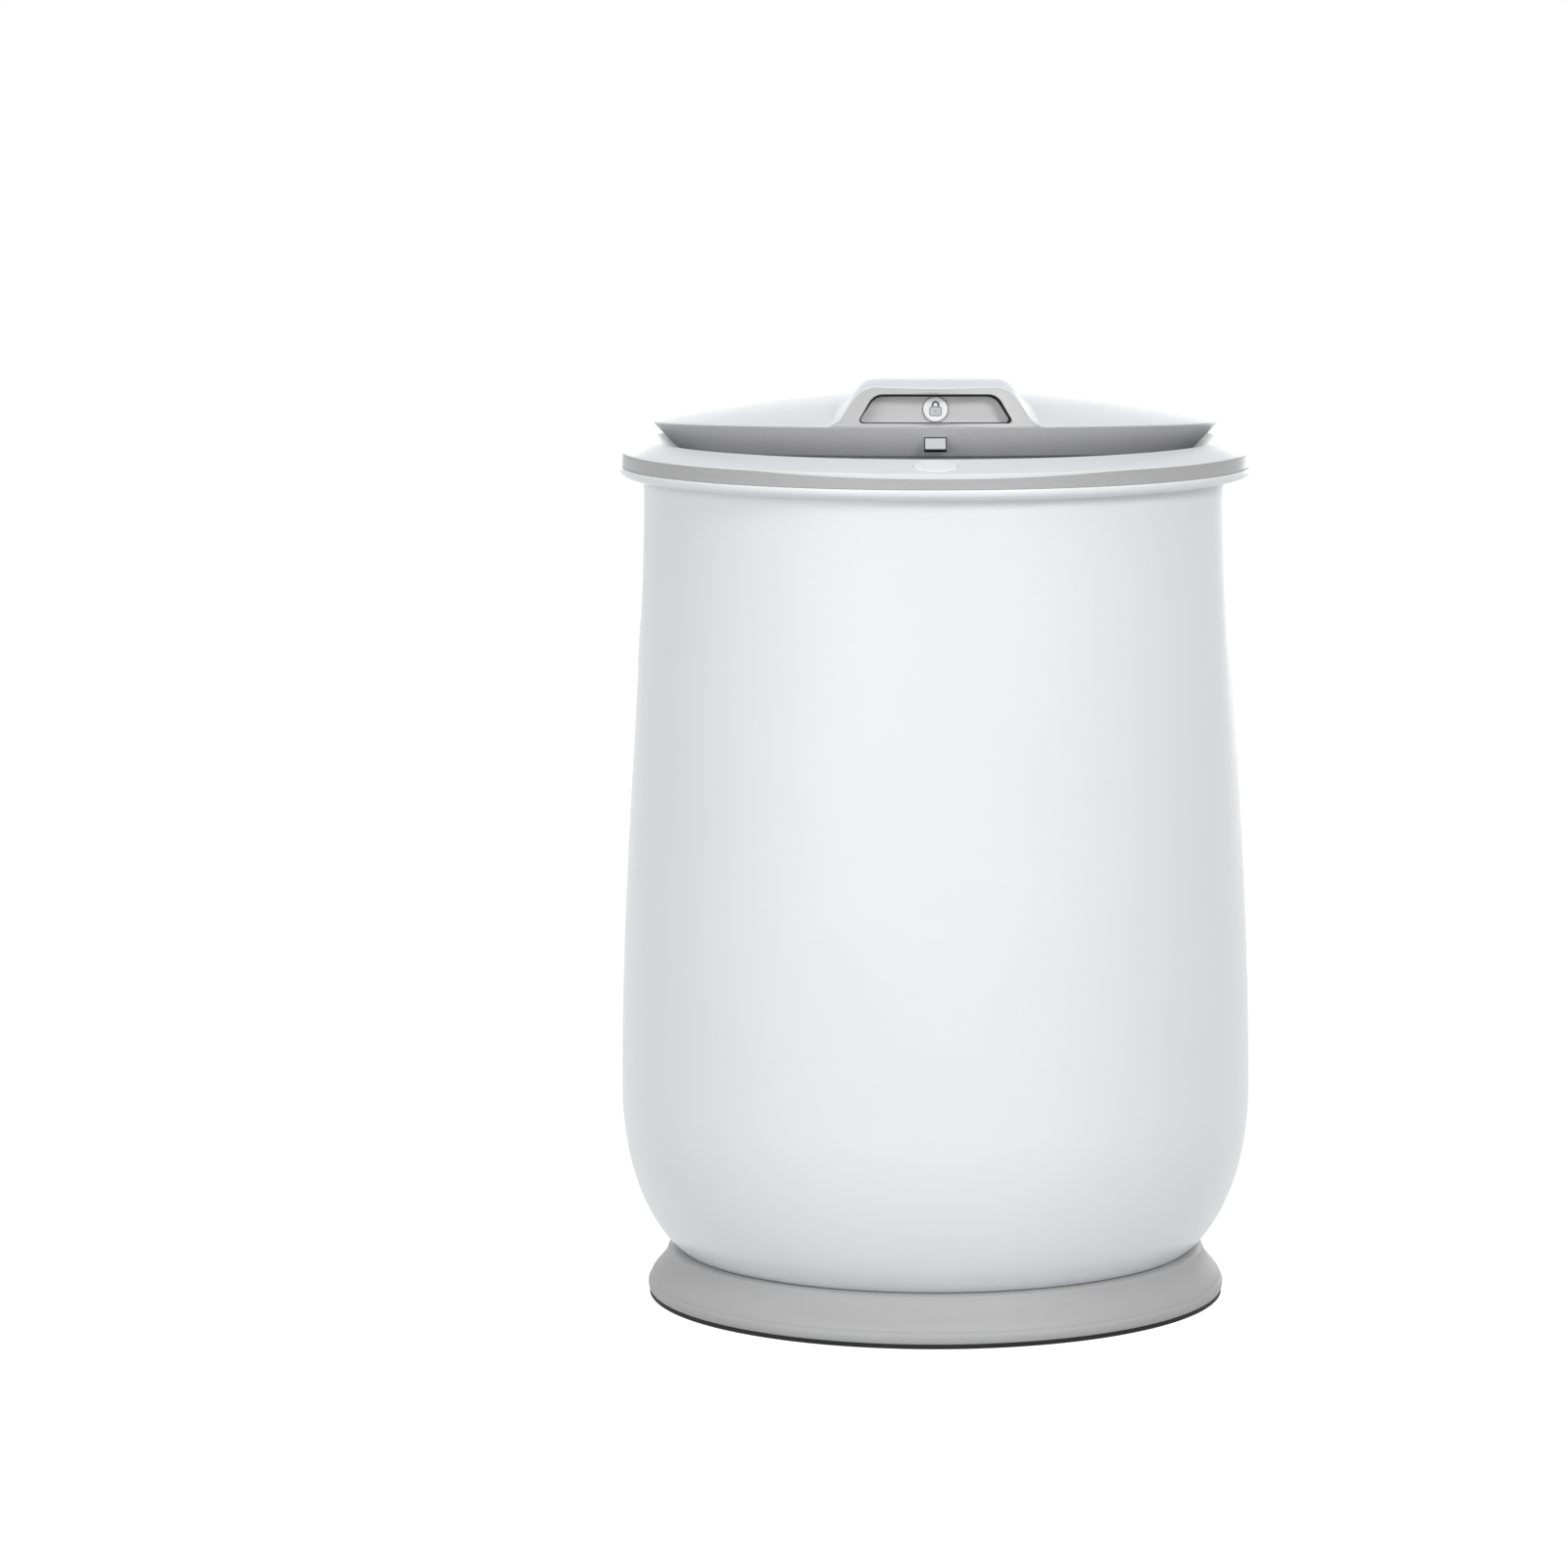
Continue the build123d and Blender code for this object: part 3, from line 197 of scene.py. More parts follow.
# ---------------------------------------------------------------- mesh tools
def weigh_normals(piece):
    """Let broad faces shade flat beside their small rounds."""
    piece.modifiers.new("face_weight", "WEIGHTED_NORMAL").keep_sharp = True
    return piece


def finish_mesh(name, verts, faces, crease=CREASE):
    """Object from millimetre points, smooth but for edges sharper than crease."""
    mesh = bpy.data.meshes.new(name)
    mesh.from_pydata([Vector(v) * MM for v in verts], [], faces)
    mesh.validate()
    work = bmesh.new()
    work.from_mesh(mesh)
    bmesh.ops.remove_doubles(work, verts=work.verts, dist=WELD_MM * MM)
    bmesh.ops.recalc_face_normals(work, faces=work.faces)
    work.to_mesh(mesh)
    work.free()
    mesh.shade_smooth()
    mesh.set_sharp_from_angle(angle=math.radians(crease))
    piece = bpy.data.objects.new(name, mesh)
    bpy.context.scene.collection.objects.link(piece)
    return weigh_normals(piece)


def skin(name, rings, cap_first=False, cap_last=False, closed=False, crease=CREASE):
    """Quads between rings of equally many points; closed joins the last ring to the first."""
    count = len(rings[0])
    verts = [p for ring in rings for p in ring]
    faces = []
    pairs = [(k, k + 1) for k in range(len(rings) - 1)]
    if closed:
        pairs.append((len(rings) - 1, 0))
    for low, high in pairs:
        for i in range(count):
            j = (i + 1) % count
            faces.append((low * count + i, low * count + j, high * count + j, high * count + i))
    if cap_first:
        faces.append(tuple(reversed(range(count))))
    if cap_last:
        start = (len(rings) - 1) * count
        faces.append(tuple(range(start, start + count)))
    return finish_mesh(name, verts, faces, crease)


def soften(corners, radii, steps=6):
    """Closed outline with a round of the given radius at each corner."""
    points = []
    count = len(corners)
    for i, (x, y) in enumerate(corners):
        radius = radii[i] if isinstance(radii, (list, tuple)) else radii
        here = Vector((x, y))
        if radius <= 0:
            points.append((x, y))
            continue
        back = (Vector(corners[i - 1]) - here).normalized()
        ahead = (Vector(corners[(i + 1) % count]) - here).normalized()
        half = back.angle(ahead) / 2
        reach = radius / math.tan(half)
        centre = here + (back + ahead).normalized() * radius / math.sin(half)
        first = here + back * reach - centre
        last = here + ahead * reach - centre
        sweep = first.angle_signed(last)
        for k in range(steps + 1):
            turn = -sweep * k / steps
            c, s = math.cos(turn), math.sin(turn)
            points.append((centre.x + c * first.x - s * first.y, centre.y + s * first.x + c * first.y))
    return points


def turned(name, outline, sides=360, crease=CREASE, shape=None):
    """Solid of revolution from a closed (r, z) outline; shape may change a point's height."""
    rings = []
    for k in range(sides):
        a = 2 * math.pi * k / sides
        ring = []
        for r, z in outline:
            x, y = r * math.cos(a), r * math.sin(a)
            ring.append((x, y, shape(x, y, z) if shape else z))
        rings.append(ring)
    return skin(name, rings, closed=True, crease=crease)


def curve(p0, p1, p2, p3, steps):
    """Points of a cubic curve without its first point."""
    points = []
    for k in range(1, steps + 1):
        t = k / steps
        u = 1 - t
        share = (u**3, 3 * u * u * t, 3 * u * t * t, t**3)
        points.append(tuple(sum(w * p[i] for w, p in zip(share, (p0, p1, p2, p3))) for i in (0, 1)))
    return points


def cut(piece, *cutters):
    """Cut closed pieces out of a piece for good, and drop the cutters."""
    piece.modifiers.clear()
    for cutter in cutters:
        cutter.modifiers.clear()
        tool = piece.modifiers.new("cut", "BOOLEAN")
        tool.operation = "DIFFERENCE"
        tool.solver = "EXACT"
        tool.object = cutter
    bpy.context.view_layer.update()
    graph = bpy.context.evaluated_depsgraph_get()
    mesh = bpy.data.meshes.new_from_object(piece.evaluated_get(graph))
    mesh.set_sharp_from_angle(angle=math.radians(CREASE))
    piece.modifiers.clear()
    piece.data = mesh
    for cutter in cutters:
        bpy.data.objects.remove(cutter)
    return weigh_normals(piece)


def raise_with_lid(piece):
    """Turn a piece of the shut lid to where the lid stands at rest."""
    hinge = Vector(HINGE) * MM
    turn = Matrix.Rotation(math.radians(-AJAR), 4, "X")
    piece.data.transform(Matrix.Translation(hinge) @ turn @ Matrix.Translation(-hinge))
    return piece


def ease(stations, y):
    """Smooth value between (place, value, ...) stations, one for each value."""
    if y <= stations[0][0]:
        return stations[0][1:]
    for i in range(len(stations) - 1):
        a, b = stations[i], stations[i + 1]
        if y <= b[0]:
            before = stations[max(i - 1, 0)]
            after = stations[min(i + 2, len(stations) - 1)]
            span = b[0] - a[0]
            t = (y - a[0]) / span
            values = []
            for k in range(1, len(a)):
                slope_a = (b[k] - before[k]) / (b[0] - before[0]) * span
                slope_b = (after[k] - a[k]) / (after[0] - a[0]) * span
                h = t * t * (3 - 2 * t)
                level = a[k] * (1 - h) + b[k] * h
                values.append(level + slope_a * t * (1 - t) ** 2 - slope_b * t * t * (1 - t))
            return tuple(values)
    return stations[-1][1:]


def bell(x, foot, top, height):
    """Height of a bell-shaped section at x: flat top, S-shaped sides, thin feet."""
    x = abs(x)
    if x >= foot:
        return 0.0
    if x <= top:
        return height
    low, high = 0.0, 1.0
    for _ in range(24):
        t = (low + high) / 2
        u = 1 - t
        side = u**3 * foot + 3 * u * u * t * (foot - FOOT_PULL) + 3 * u * t * t * (top + TOP_PULL)
        if side + t**3 * top > x:
            low = t
        else:
            high = t
    t = (low + high) / 2
    u = 1 - t
    return (3 * u * u * t * FOOT_RISE + 3 * u * t * t + t**3) * height


def soft_max(a, b, k):
    """The larger of two heights, with a fillet about k high where they cross."""
    h = max(k - abs(a - b), 0.0) / k
    return max(a, b) + h * h * k / 4


# ---------------------------------------------------------------- barrel and rings
def barrel_side(inset, steps):
    """Outline of the barrel's side from the belly to the top, inset from the outside."""
    rise = BARREL_TOP_Z - BELLY_Z
    return curve(
        (BELLY_R - inset, BELLY_Z),
        (BELLY_R - inset, BELLY_Z + 0.375 * rise),
        (BARREL_TOP_R + 0.2 - inset, BELLY_Z + 0.687 * rise),
        (BARREL_TOP_R - inset, BARREL_TOP_Z),
        steps,
    )


def barrel_foot(inset, low_z, steps):
    """Outline of the barrel's curve from a height near the floor to the belly."""
    half_r, half_z = CURVE_R - inset, CURVE_Z - inset
    start = math.acos((BELLY_Z - low_z) / half_z)
    turns = [start + (math.pi / 2 - start) * k / steps for k in range(steps + 1)]
    return [(BELLY_R - CURVE_R + half_r * math.sin(t), BELLY_Z - half_z * math.cos(t)) for t in turns]


def base():
    """Flared grey base: bead at the foot, crease, flare and rounded shoulder, with the inlet's room."""
    crease = (BASE_R - 0.4, FOOT_Z + 5.6)
    ledge = (SEAM_R + 6.3, SEAM_Z - 2.5)
    foot = [(BASE_R - 2.6, FOOT_Z), (BASE_R - 0.3, FOOT_Z), (BASE_R - 0.05, FOOT_Z + 0.15)]
    bead = curve(foot[-1], (BASE_R + 0.7, FOOT_Z + 1.5), (BASE_R + 1.3, crease[1] - 0.8), crease, 12)
    flare = curve(crease, (BASE_R - 0.3, crease[1] + 4.0), (ledge[0] + 1.8, ledge[1] - 6.9), ledge, 22)
    shoulder = curve(ledge, (ledge[0] - 0.2, SEAM_Z - 0.5), (ledge[0] - 1.3, SEAM_Z), (SEAM_R, SEAM_Z), 10)
    shelf_z = SEAM_Z - BASE_WALL
    inside = [(BASE_BORE_R, SEAM_Z), (BASE_BORE_R, shelf_z), (BASE_SHELF_R, shelf_z)] + BASE_INSIDE
    piece = turned("base_flare", foot + bead + flare + shoulder + inside, crease=16)
    return cut(piece, box_cutter("inlet_room", INLET_HALF, INLET_Y, INLET_Z))


def foot():
    """Black rubber foot ring with its key in the plate; its black edge also stands in for the shadow line
    under the base.
    """
    r = BASE_R - 0.05
    outline = [(r - 7, 0.2), (r - 6.8, 0), (r - 0.25, 0), (r, 0.25), (r, FOOT_Z), (r - 1.8, FOOT_Z)]
    outline += [(r - 1.8, FOOT_Z + 1.2), (r - 5.2, FOOT_Z + 1.2), (r - 5.2, FOOT_Z), (r - 7, FOOT_Z)]
    return turned("foot_ring_rubber", outline)


def barrel():
    """White barrel with the shadow line over the base and a rounded foot edge."""
    gap_z = SEAM_Z + SEAM_GAP[1]
    outside = barrel_foot(0, gap_z + 0.35, 26) + barrel_side(0, 30)
    foot_r = outside[0][0]
    outline = [(SEAM_R - SEAM_GAP[0], SEAM_Z), (SEAM_R - SEAM_GAP[0], gap_z), (foot_r - 0.75, gap_z)]
    outline += [(foot_r - 0.35, gap_z + 0.08)] + outside
    floor_z = SEAM_Z + BARREL_WALL
    inside = barrel_foot(BARREL_WALL, floor_z, 16) + barrel_side(BARREL_WALL, 20)
    outline += list(reversed(inside))
    outline += [(BARREL_FLOOR_R, floor_z), (BARREL_FLOOR_R, SEAM_Z)]
    return turned("barrel_shell", outline)


def collar():
    """White collar whose rounded lip overhangs the barrel."""
    z, top = BARREL_TOP_Z, COLLAR_TOP_Z
    start = (BARREL_TOP_R + 0.6, z)
    lip = curve(start, (COLLAR_R - 2.1, z + 0.5), (COLLAR_R, z + 2.4), (COLLAR_R, top - 1.2), 16)
    lip += curve(lip[-1], (COLLAR_R, top - 0.5), (COLLAR_R - 0.3, top), (COLLAR_R - 0.8, top), 5)
    spigot_r = BARREL_TOP_R - BARREL_WALL - SPIGOT_GAP
    deck_low = COLLAR_DECK_Z - COLLAR_WALL
    rest = [
        (UPSTAND_R, top),
        (UPSTAND_R, top + UPSTAND_RISE),
        (COLLAR_LEDGE_R, top + UPSTAND_RISE),
        (COLLAR_LEDGE_R, COLLAR_DECK_Z),
        (COLLAR_BORE_R, COLLAR_DECK_Z),
        (COLLAR_BORE_R, deck_low),
        (spigot_r - COLLAR_WALL, deck_low),
        (spigot_r - COLLAR_WALL, z - SPIGOT_DEPTH),
        (spigot_r, z - SPIGOT_DEPTH),
        (spigot_r, z),
    ]
    return turned("collar_lip", [start] + lip + rest)


def dip(x):
    """How far the bezel comes down over the band at x."""
    deep, half = DIP
    big_r = (half**2 + deep**2) / (2 * deep)
    if abs(x) >= half:
        return 0.0
    return deep - big_r + math.sqrt(big_r**2 - x * x)


def band():
    """Grey band round the rim with eased edges, dipped at the front."""
    r, low, high = RIM_R, COLLAR_TOP_Z + 0.05, BAND_TOP_Z - 0.05
    foot_z = low + 0.5
    outline = [
        (r - BAND_WALL, low),
        (r - 0.35, low),
        (r - 0.1, low + 0.1),
        (r, low + 0.35),
        (r, high - 0.2),
        (r - 0.05, high - 0.06),
        (r - 0.2, high),
        (r - BAND_WALL, high),
    ]

    def lower_top(x, y, z):
        """Lower the band's top by the front dip, and leave its foot."""
        if y > 0:
            return z
        share = min(max((z - foot_z) / (high - foot_z), 0.0), 1.0)
        return z - dip(x) * share

    return turned("rim_band_ring", outline, shape=lower_top)


def slope_z(r):
    """Height of the rim's sloping face at a radius."""
    return LID_PLANE - (r - CROWN_R) * RIM_SLOPE


def bezel():
    """Pale rim: sloping control face, rounded crown and the funnel the lid sits in."""
    low = BAND_TOP_Z
    edge = (RIM_R, low + 0.2)
    face = [(r, slope_z(r)) for r in (RIM_R - 0.25, RIM_R - 1.2, 161.5, 159.0, 156.5, 154.0, 151.8, 150.1)]
    outline = [(COLLAR_LEDGE_R - 0.3, low), (RIM_R - 0.25, low), edge]
    outline += curve(edge, (RIM_R, RIM_LIP_Z + 0.1), face[0], face[1], 6)
    outline += face[2:]
    outline += curve(face[-1], (149.5, slope_z(149.5)), (148.8, LID_PLANE - 0.4), (148.2, LID_PLANE - 1.0), 7)
    outline += [(143.0, LID_PLANE - 6.2), (137.0, LID_PLANE - 12.2), FUNNEL_FOOT]
    inner, outer = BEZEL_LEG
    outline += [(FUNNEL_FOOT[0] + FUNNEL_WALL, FUNNEL_FOOT[1]), CROWN_UNDER, (inner, SLOPE_UNDER_Z)]
    outline += [(inner, COLLAR_DECK_Z), (outer, COLLAR_DECK_Z)]

    def lower_edge(x, y, z):
        """Lower the outer edge over the band by the front dip, and leave the leg's foot."""
        if y > 0 or math.hypot(x, y) < COLLAR_LEDGE_R:
            return z
        share = min(max((low + 0.45 - z) / 0.4, 0.0), 1.0)
        return z - dip(x) * share if z > COLLAR_DECK_Z + 1 else z

    piece = turned("rim_bezel_ring", outline, shape=lower_edge)
    slot = box_cutter("bolt_slot", BOLT_HALF + SLOT_ROOM, SLOT_Y, SLOT_Z)
    return cut(piece, button_cutter(BUTTON_GAP), slot)


def on_slope(x, y, z):
    """Point of the control face: x across, y up the slope, z off the face."""
    back = -BUTTON_CIRCLE + y * math.cos(RIM_LEAN) - z * math.sin(RIM_LEAN)
    return (x, back, slope_z(BUTTON_CIRCLE) + y * math.sin(RIM_LEAN) + z * math.cos(RIM_LEAN))


def oval(grow, z, count=96):
    """Ring of the button's oval outline, grown, at a height off the control face.

    Its points sit half a step off the middle plane, so that no point of the bezel meets one.
    """
    a, b = BUTTON_HALF[0] + grow, BUTTON_HALF[1] + grow
    turns = [2 * math.pi * (k + 0.5) / count for k in range(count)]
    return [on_slope(a * math.cos(t), b * math.sin(t), z) for t in turns]


def button_cutter(grow):
    """Cutter of the button's hole, with a small lead-in at the face."""
    rings = [oval(grow, -7.2), oval(grow, -0.25), oval(grow + 0.3, 0.1), oval(grow + 0.3, 7.0)]
    return skin("button_hole", rings, cap_first=True, cap_last=True)


def box_cutter(name, half_x, span_y, span_z):
    """Box cutter across the middle plane."""
    front, back = span_y
    corners = [(-half_x, front), (half_x, front), (half_x, back), (-half_x, back)]
    rings = [[(x, y, z) for x, y in corners] for z in span_z]
    return skin(name, rings, cap_first=True, cap_last=True)


def power_key():
    """Oval key with a faint crown and a rolled edge."""
    roll = BUTTON_ROLL
    rings = [oval(0, -3.6), oval(0, -0.35)]
    rings += [oval(-roll * (1 - math.cos(t)), -0.35 + roll * math.sin(t)) for t in (0.4, 0.8, 1.2, 1.57)]
    rings += [oval(-grow, 0.15 + rise) for grow, rise in ((1.6, 0.06), (3.2, 0.1), (5.0, 0.12))]
    return skin("power_key_oval", rings, cap_first=True, cap_last=True)


def skirt():
    """Grey cone under the lid's edge with its rounded foot and the bolt's window."""
    r, z, steps = LID_R, LID_PLANE, 8
    low = z - SKIRT_DEPTH
    outline = [(SKIRT_BORE_R, z), (r - 0.5, z), (r - 0.12, z - 0.1), (r - 0.15, z - 0.4)]
    down = [SKIRT_RUN * k / steps for k in range(steps + 1)]
    outline += [(r - 0.5 - run, z - 0.75 - run) for run in down]
    foot_r, foot_z = outline[-1]
    outline += curve(outline[-1], (foot_r - 0.4, foot_z - 0.4), (foot_r - 0.9, low), (foot_r - 1.5, low), 6)
    outline += [(r - SKIRT_DEPTH - 3.1, low), (r - 5.3, z - SKIRT_WALL), (SKIRT_BORE_R, z - SKIRT_WALL)]
    piece = turned("lid_skirt_cone", outline)
    heights = (z + BOLT_Z[0] - BOLT_ROOM_BELOW, z + BOLT_Z[1] + BOLT_ROOM)
    return cut(piece, box_cutter("bolt_window", BOLT_HALF + BOLT_ROOM, BOLT_WINDOW_Y, heights))


# ---------------------------------------------------------------- lid: dome and hood
BALL_R = (LID_R**2 + DOME_RISE**2) / (2 * DOME_RISE)  # the dome's sphere
BALL_Z = LID_EDGE + DOME_RISE - BALL_R


def dome_height(r):
    """Height of the dome over the lid's edge plane."""
    return BALL_Z + math.sqrt(BALL_R**2 - r * r)


def cover_height(x, y):
    """Height of the white cover: the dome with the hood blended into it."""
    dome = dome_height(min(math.hypot(x, y), LID_R))
    if y > HOOD_STATIONS[-1][0]:
        return dome
    height, widen = ease(HOOD_STATIONS, y)
    hood = bell(x, HOOD_FOOT, HOOD_TOP + widen, height)
    share = min(max((y + LID_R - 1.0) / HOOD_FILLET_RUN, 0.0), 1.0)
    fillet = min(HOOD_FILLET[0] + (HOOD_FILLET[1] - HOOD_FILLET[0]) * share, 2.5 * hood + 0.01)
    if hood < dome - fillet:
        return dome
    return soft_max(dome, hood, fillet)


def cover_rim(angle):
    """Radius at which the cover ends: the lid's edge, or the leaning front of the hood."""
    low, high = LID_R - 12.0, LID_R
    for _ in range(30):
        r = (low + high) / 2
        h = cover_height(r * math.cos(angle), r * math.sin(angle))
        if r < LID_R - FASCIA_LEAN * (h - LID_EDGE):
            low = r
        else:
            high = r
    return (low + high) / 2


def lid_cover():
    """White cover with its rounded edge and its wall; its rays stand closer over the front."""
    degrees = [0.5 * k for k in range(720)] + [270 + 0.125 * k for k in range(-200, 201)]
    angles = [math.radians(a) for a in sorted(set(round(a, 3) for a in degrees))]
    rims = [(a, cover_rim(a)) for a in angles]
    heights = [cover_height(rim * math.cos(a), rim * math.sin(a)) for a, rim in rims]

    def ring_at(share, inset, drop):
        """Ring on the cover's surface, at a share of the way out to its edge."""
        ring = []
        for a, rim in rims:
            r = (rim - inset) * share
            x, y = r * math.cos(a), r * math.sin(a)
            ring.append((x, y, LID_PLANE + cover_height(x, y) - drop))
        return ring

    def edge_ring(inset, drop):
        """Ring a little inside the cover's edge and below it, but not below the lid's plane."""
        ring = []
        for (a, rim), h in zip(rims, heights):
            r = rim - inset
            ring.append((r * math.cos(a), r * math.sin(a), LID_PLANE + h - min(drop, h)))
        return ring

    shares = [0.05, 0.12, 0.2, 0.3] + [0.3 + 0.7 * k / 90 for k in range(1, 91)]
    rings = [ring_at(share, 0.45, 0.0) for share in shares]
    edge = [(0.19, 0.1), (0.05, 0.28), (0.0, 0.5), (0.3, 0.5), (2.4, 1.3)]
    rings += [edge_ring(inset, drop) for inset, drop in edge]
    rings += [ring_at(share, 0.0, DOME_WALL) for share in (0.93, 0.85, 0.7, 0.5, 0.25, 0.05)]
    return skin("lid_cover_shell", rings, cap_first=True, cap_last=True, crease=50)


# ---------------------------------------------------------------- handle's face and pocket
def on_cone(x, h, inset=0.0):
    """Point of the handle's leaning face, x across and h above the lid's edge."""
    r = FASCIA_R - FASCIA_LEAN * h - inset
    return (x, -math.sqrt(r * r - x * x), LID_PLANE + h)


def hood_front_height(x):
    """Height of the hood where it meets the leaning face at x."""
    h = 17.5  # first guess
    for _ in range(12):
        r = LID_R - FASCIA_LEAN * (h - LID_EDGE)
        y = -math.sqrt(r * r - x * x)
        h = ease(HOOD_STATIONS, y)[0]
    return h


def fascia_outline(shrink):
    """Bell outline of the handle's face, from its right foot over the top to its left foot."""
    slope = HOOD_FOOT - HOOD_TOP
    xs = [HOOD_FOOT - 0.4 - (slope - 1.4) * (k / 60) for k in range(61)]
    right = [(x, max(bell(x, HOOD_FOOT, HOOD_TOP, hood_front_height(x)) - shrink, 0.05)) for x in xs]
    flat = [HOOD_TOP - 2 * HOOD_TOP * k / 24 for k in range(1, 24)]
    middle = [(x, hood_front_height(x) - shrink) for x in flat]
    left = [(-x, h) for x, h in reversed(right)]
    return right + middle + left


def window_outline(grow=0.0, steps=8):
    """Window outline as (x, h) points, sill corners first; its slanted sides grow with it."""
    corners = [
        (-WINDOW_HALF_SILL - 1.3 * grow, WINDOW_SILL - grow),
        (WINDOW_HALF_SILL + 1.3 * grow, WINDOW_SILL - grow),
        (WINDOW_HALF_HEAD + 0.8 * grow, WINDOW_HEAD + grow),
        (-WINDOW_HALF_HEAD - 0.8 * grow, WINDOW_HEAD + grow),
    ]
    sill, head = max(SILL_ROUND + grow, 0.2), max(HEAD_ROUND + grow, 0.2)
    return soften(corners, [sill, sill, head, head], steps)


def dense(outline, steps=8, spans=(48, 12, 40, 12)):
    """Window outline with points added along its four straight sides."""
    points = []
    for side, span in enumerate(spans):
        start = side * (steps + 1)
        corner = outline[start : start + steps + 1]
        points += corner
        (ax, ah), (bx, bh) = corner[-1], outline[(start + steps + 1) % len(outline)]
        points += [(ax + (bx - ax) * k / span, ah + (bh - ah) * k / span) for k in range(1, span)]
    return points


def along_ray(outline, centre, angle):
    """Distance from centre to a closed outline along an angle."""
    dx, dy = math.cos(angle), math.sin(angle)
    best = 0.0
    for (ax, ay), (bx, by) in zip(outline, outline[1:] + outline[:1]):
        ex, ey = bx - ax, by - ay
        cross = dx * ey - dy * ex
        if abs(cross) < 1e-12:
            continue
        px, py = ax - centre[0], ay - centre[1]
        along = (px * ey - py * ex) / cross
        share = (px * dy - py * dx) / cross
        if along > 0 and -1e-9 <= share <= 1 + 1e-9:
            best = max(best, along)
    return best


def handle_fascia():
    """Grey face of the handle: a leaning skin round the window, with rounded lips."""
    centre = (0.0, 8.0)  # inside the window; the face is meshed along rays from here
    outer = fascia_outline(FASCIA_GAP)
    window = window_outline()
    spread = [math.atan2(h - centre[1], x - centre[0]) for x, h in outer + window]
    spread += [math.radians(a) for a in range(-180, 180, 3)]
    spread += [math.atan2(WINDOW_SILL - centre[1], 1.5 * k) for k in range(-40, 41)]
    angles = sorted(set(round(a, 5) for a in spread))
    outer_reach = [along_ray(outer, centre, a) for a in angles]
    inner_reach = [along_ray(window, centre, a) for a in angles]

    def ring(share, inset, grow=0.0):
        points = []
        for a, far, near in zip(angles, outer_reach, inner_reach):
            reach = near + grow + (far - near - grow) * share
            points.append(on_cone(centre[0] + reach * math.cos(a), centre[1] + reach * math.sin(a), inset))
        return points

    rings = [ring(1.0, FASCIA_WALL), ring(1.0, 0.25), ring(0.985, 0.06), ring(0.96, 0.0)]
    rings += [ring(s, 0.0) for s in (0.88, 0.76, 0.64, 0.52, 0.4, 0.28, 0.18)]
    for k in range(7):
        turn = math.radians(90 * k / 6)
        rings.append(ring(0.0, FASCIA_LIP * (1 - math.cos(turn)), FASCIA_LIP * (1 - math.sin(turn))))
    rings.append(ring(0.0, FASCIA_WALL))
    return skin("handle_face", rings, closed=True, crease=40)


def grip_pocket():
    """Pocket behind the window, with rounded inside corners and the badge's hole."""
    flange = dense(window_outline(POCKET_FLANGE))
    mouth = dense(window_outline(POCKET_INSET))
    rings = [[on_cone(x, h, PAINTED_SHADOW_BACK + 0.05) for x, h in outline] for outline in (flange, mouth)]
    for k in range(5):
        turn = math.radians(90 * k / 4)
        shrink = POCKET_FILLET * (1 - math.cos(turn))
        depth = POCKET_BACK - POCKET_FILLET * (1 - math.sin(turn))
        rings.append([(x, depth, LID_PLANE + h) for x, h in dense(window_outline(POCKET_INSET - shrink))])
    flat = dense(window_outline(POCKET_INSET - POCKET_FILLET))
    hole = []
    hole_r = BADGE_R + BADGE_GAP
    for x, h in flat:
        turn = math.atan2(h - BADGE_HEIGHT, x)
        hole.append((hole_r * math.cos(turn), BADGE_HEIGHT + hole_r * math.sin(turn)))
    for share in (0.6, 0.3, 0.0):
        ring = []
        for (x, h), (hole_x, hole_h) in zip(flat, hole):
            height = LID_PLANE + hole_h + (h - hole_h) * share
            ring.append((hole_x + (x - hole_x) * share, POCKET_BACK, height))
        rings.append(ring)
    back = POCKET_BACK + POCKET_WALL
    rings.append([(x, back, z) for x, _, z in rings[-1]])
    rings.append([(x, back, LID_PLANE + h) for x, h in flange])
    return skin("grip_pocket_tub", rings, closed=True, crease=40)


def painted_window_shadow():
    """Black ring between the face and the pocket, painted shadow: the dark line round the window, wider along
    the head and at the right where the shade falls.
    """
    outer = dense(window_outline(POCKET_FLANGE - 0.1))
    sill, sill_left, sill_right = PAINTED_SHADOW_SILL
    head, head_left, head_right = PAINTED_SHADOW_HEAD
    corners = [
        (-WINDOW_HALF_SILL + sill_left, WINDOW_SILL + sill),
        (WINDOW_HALF_SILL - sill_right, WINDOW_SILL + sill),
        (WINDOW_HALF_HEAD - head_right, WINDOW_HEAD - head),
        (-WINDOW_HALF_HEAD + head_left, WINDOW_HEAD - head),
    ]
    inner = dense(soften(corners, PAINTED_SHADOW_ROUNDS, 8))
    section = [(outer, PAINTED_SHADOW_BACK), (outer, PAINTED_SHADOW_FRONT), (inner, PAINTED_SHADOW_FRONT), (inner, PAINTED_SHADOW_BACK)]
    rings = [[on_cone(x, h, depth) for x, h in outline] for outline, depth in section]
    return skin("painted_window_shadow_ring", rings, closed=True, crease=40)


def front_disc(name, centre_z, profile, sides=96):
    """Disc facing the front, from (r, y) points, first and last capped."""
    rings = []
    for r, y in profile:
        ring = []
        for k in range(sides):
            a = 2 * math.pi * k / sides
            ring.append((r * math.cos(a), y, centre_z + r * math.sin(a)))
        rings.append(ring)
    return skin(name, rings, cap_first=True, cap_last=True)


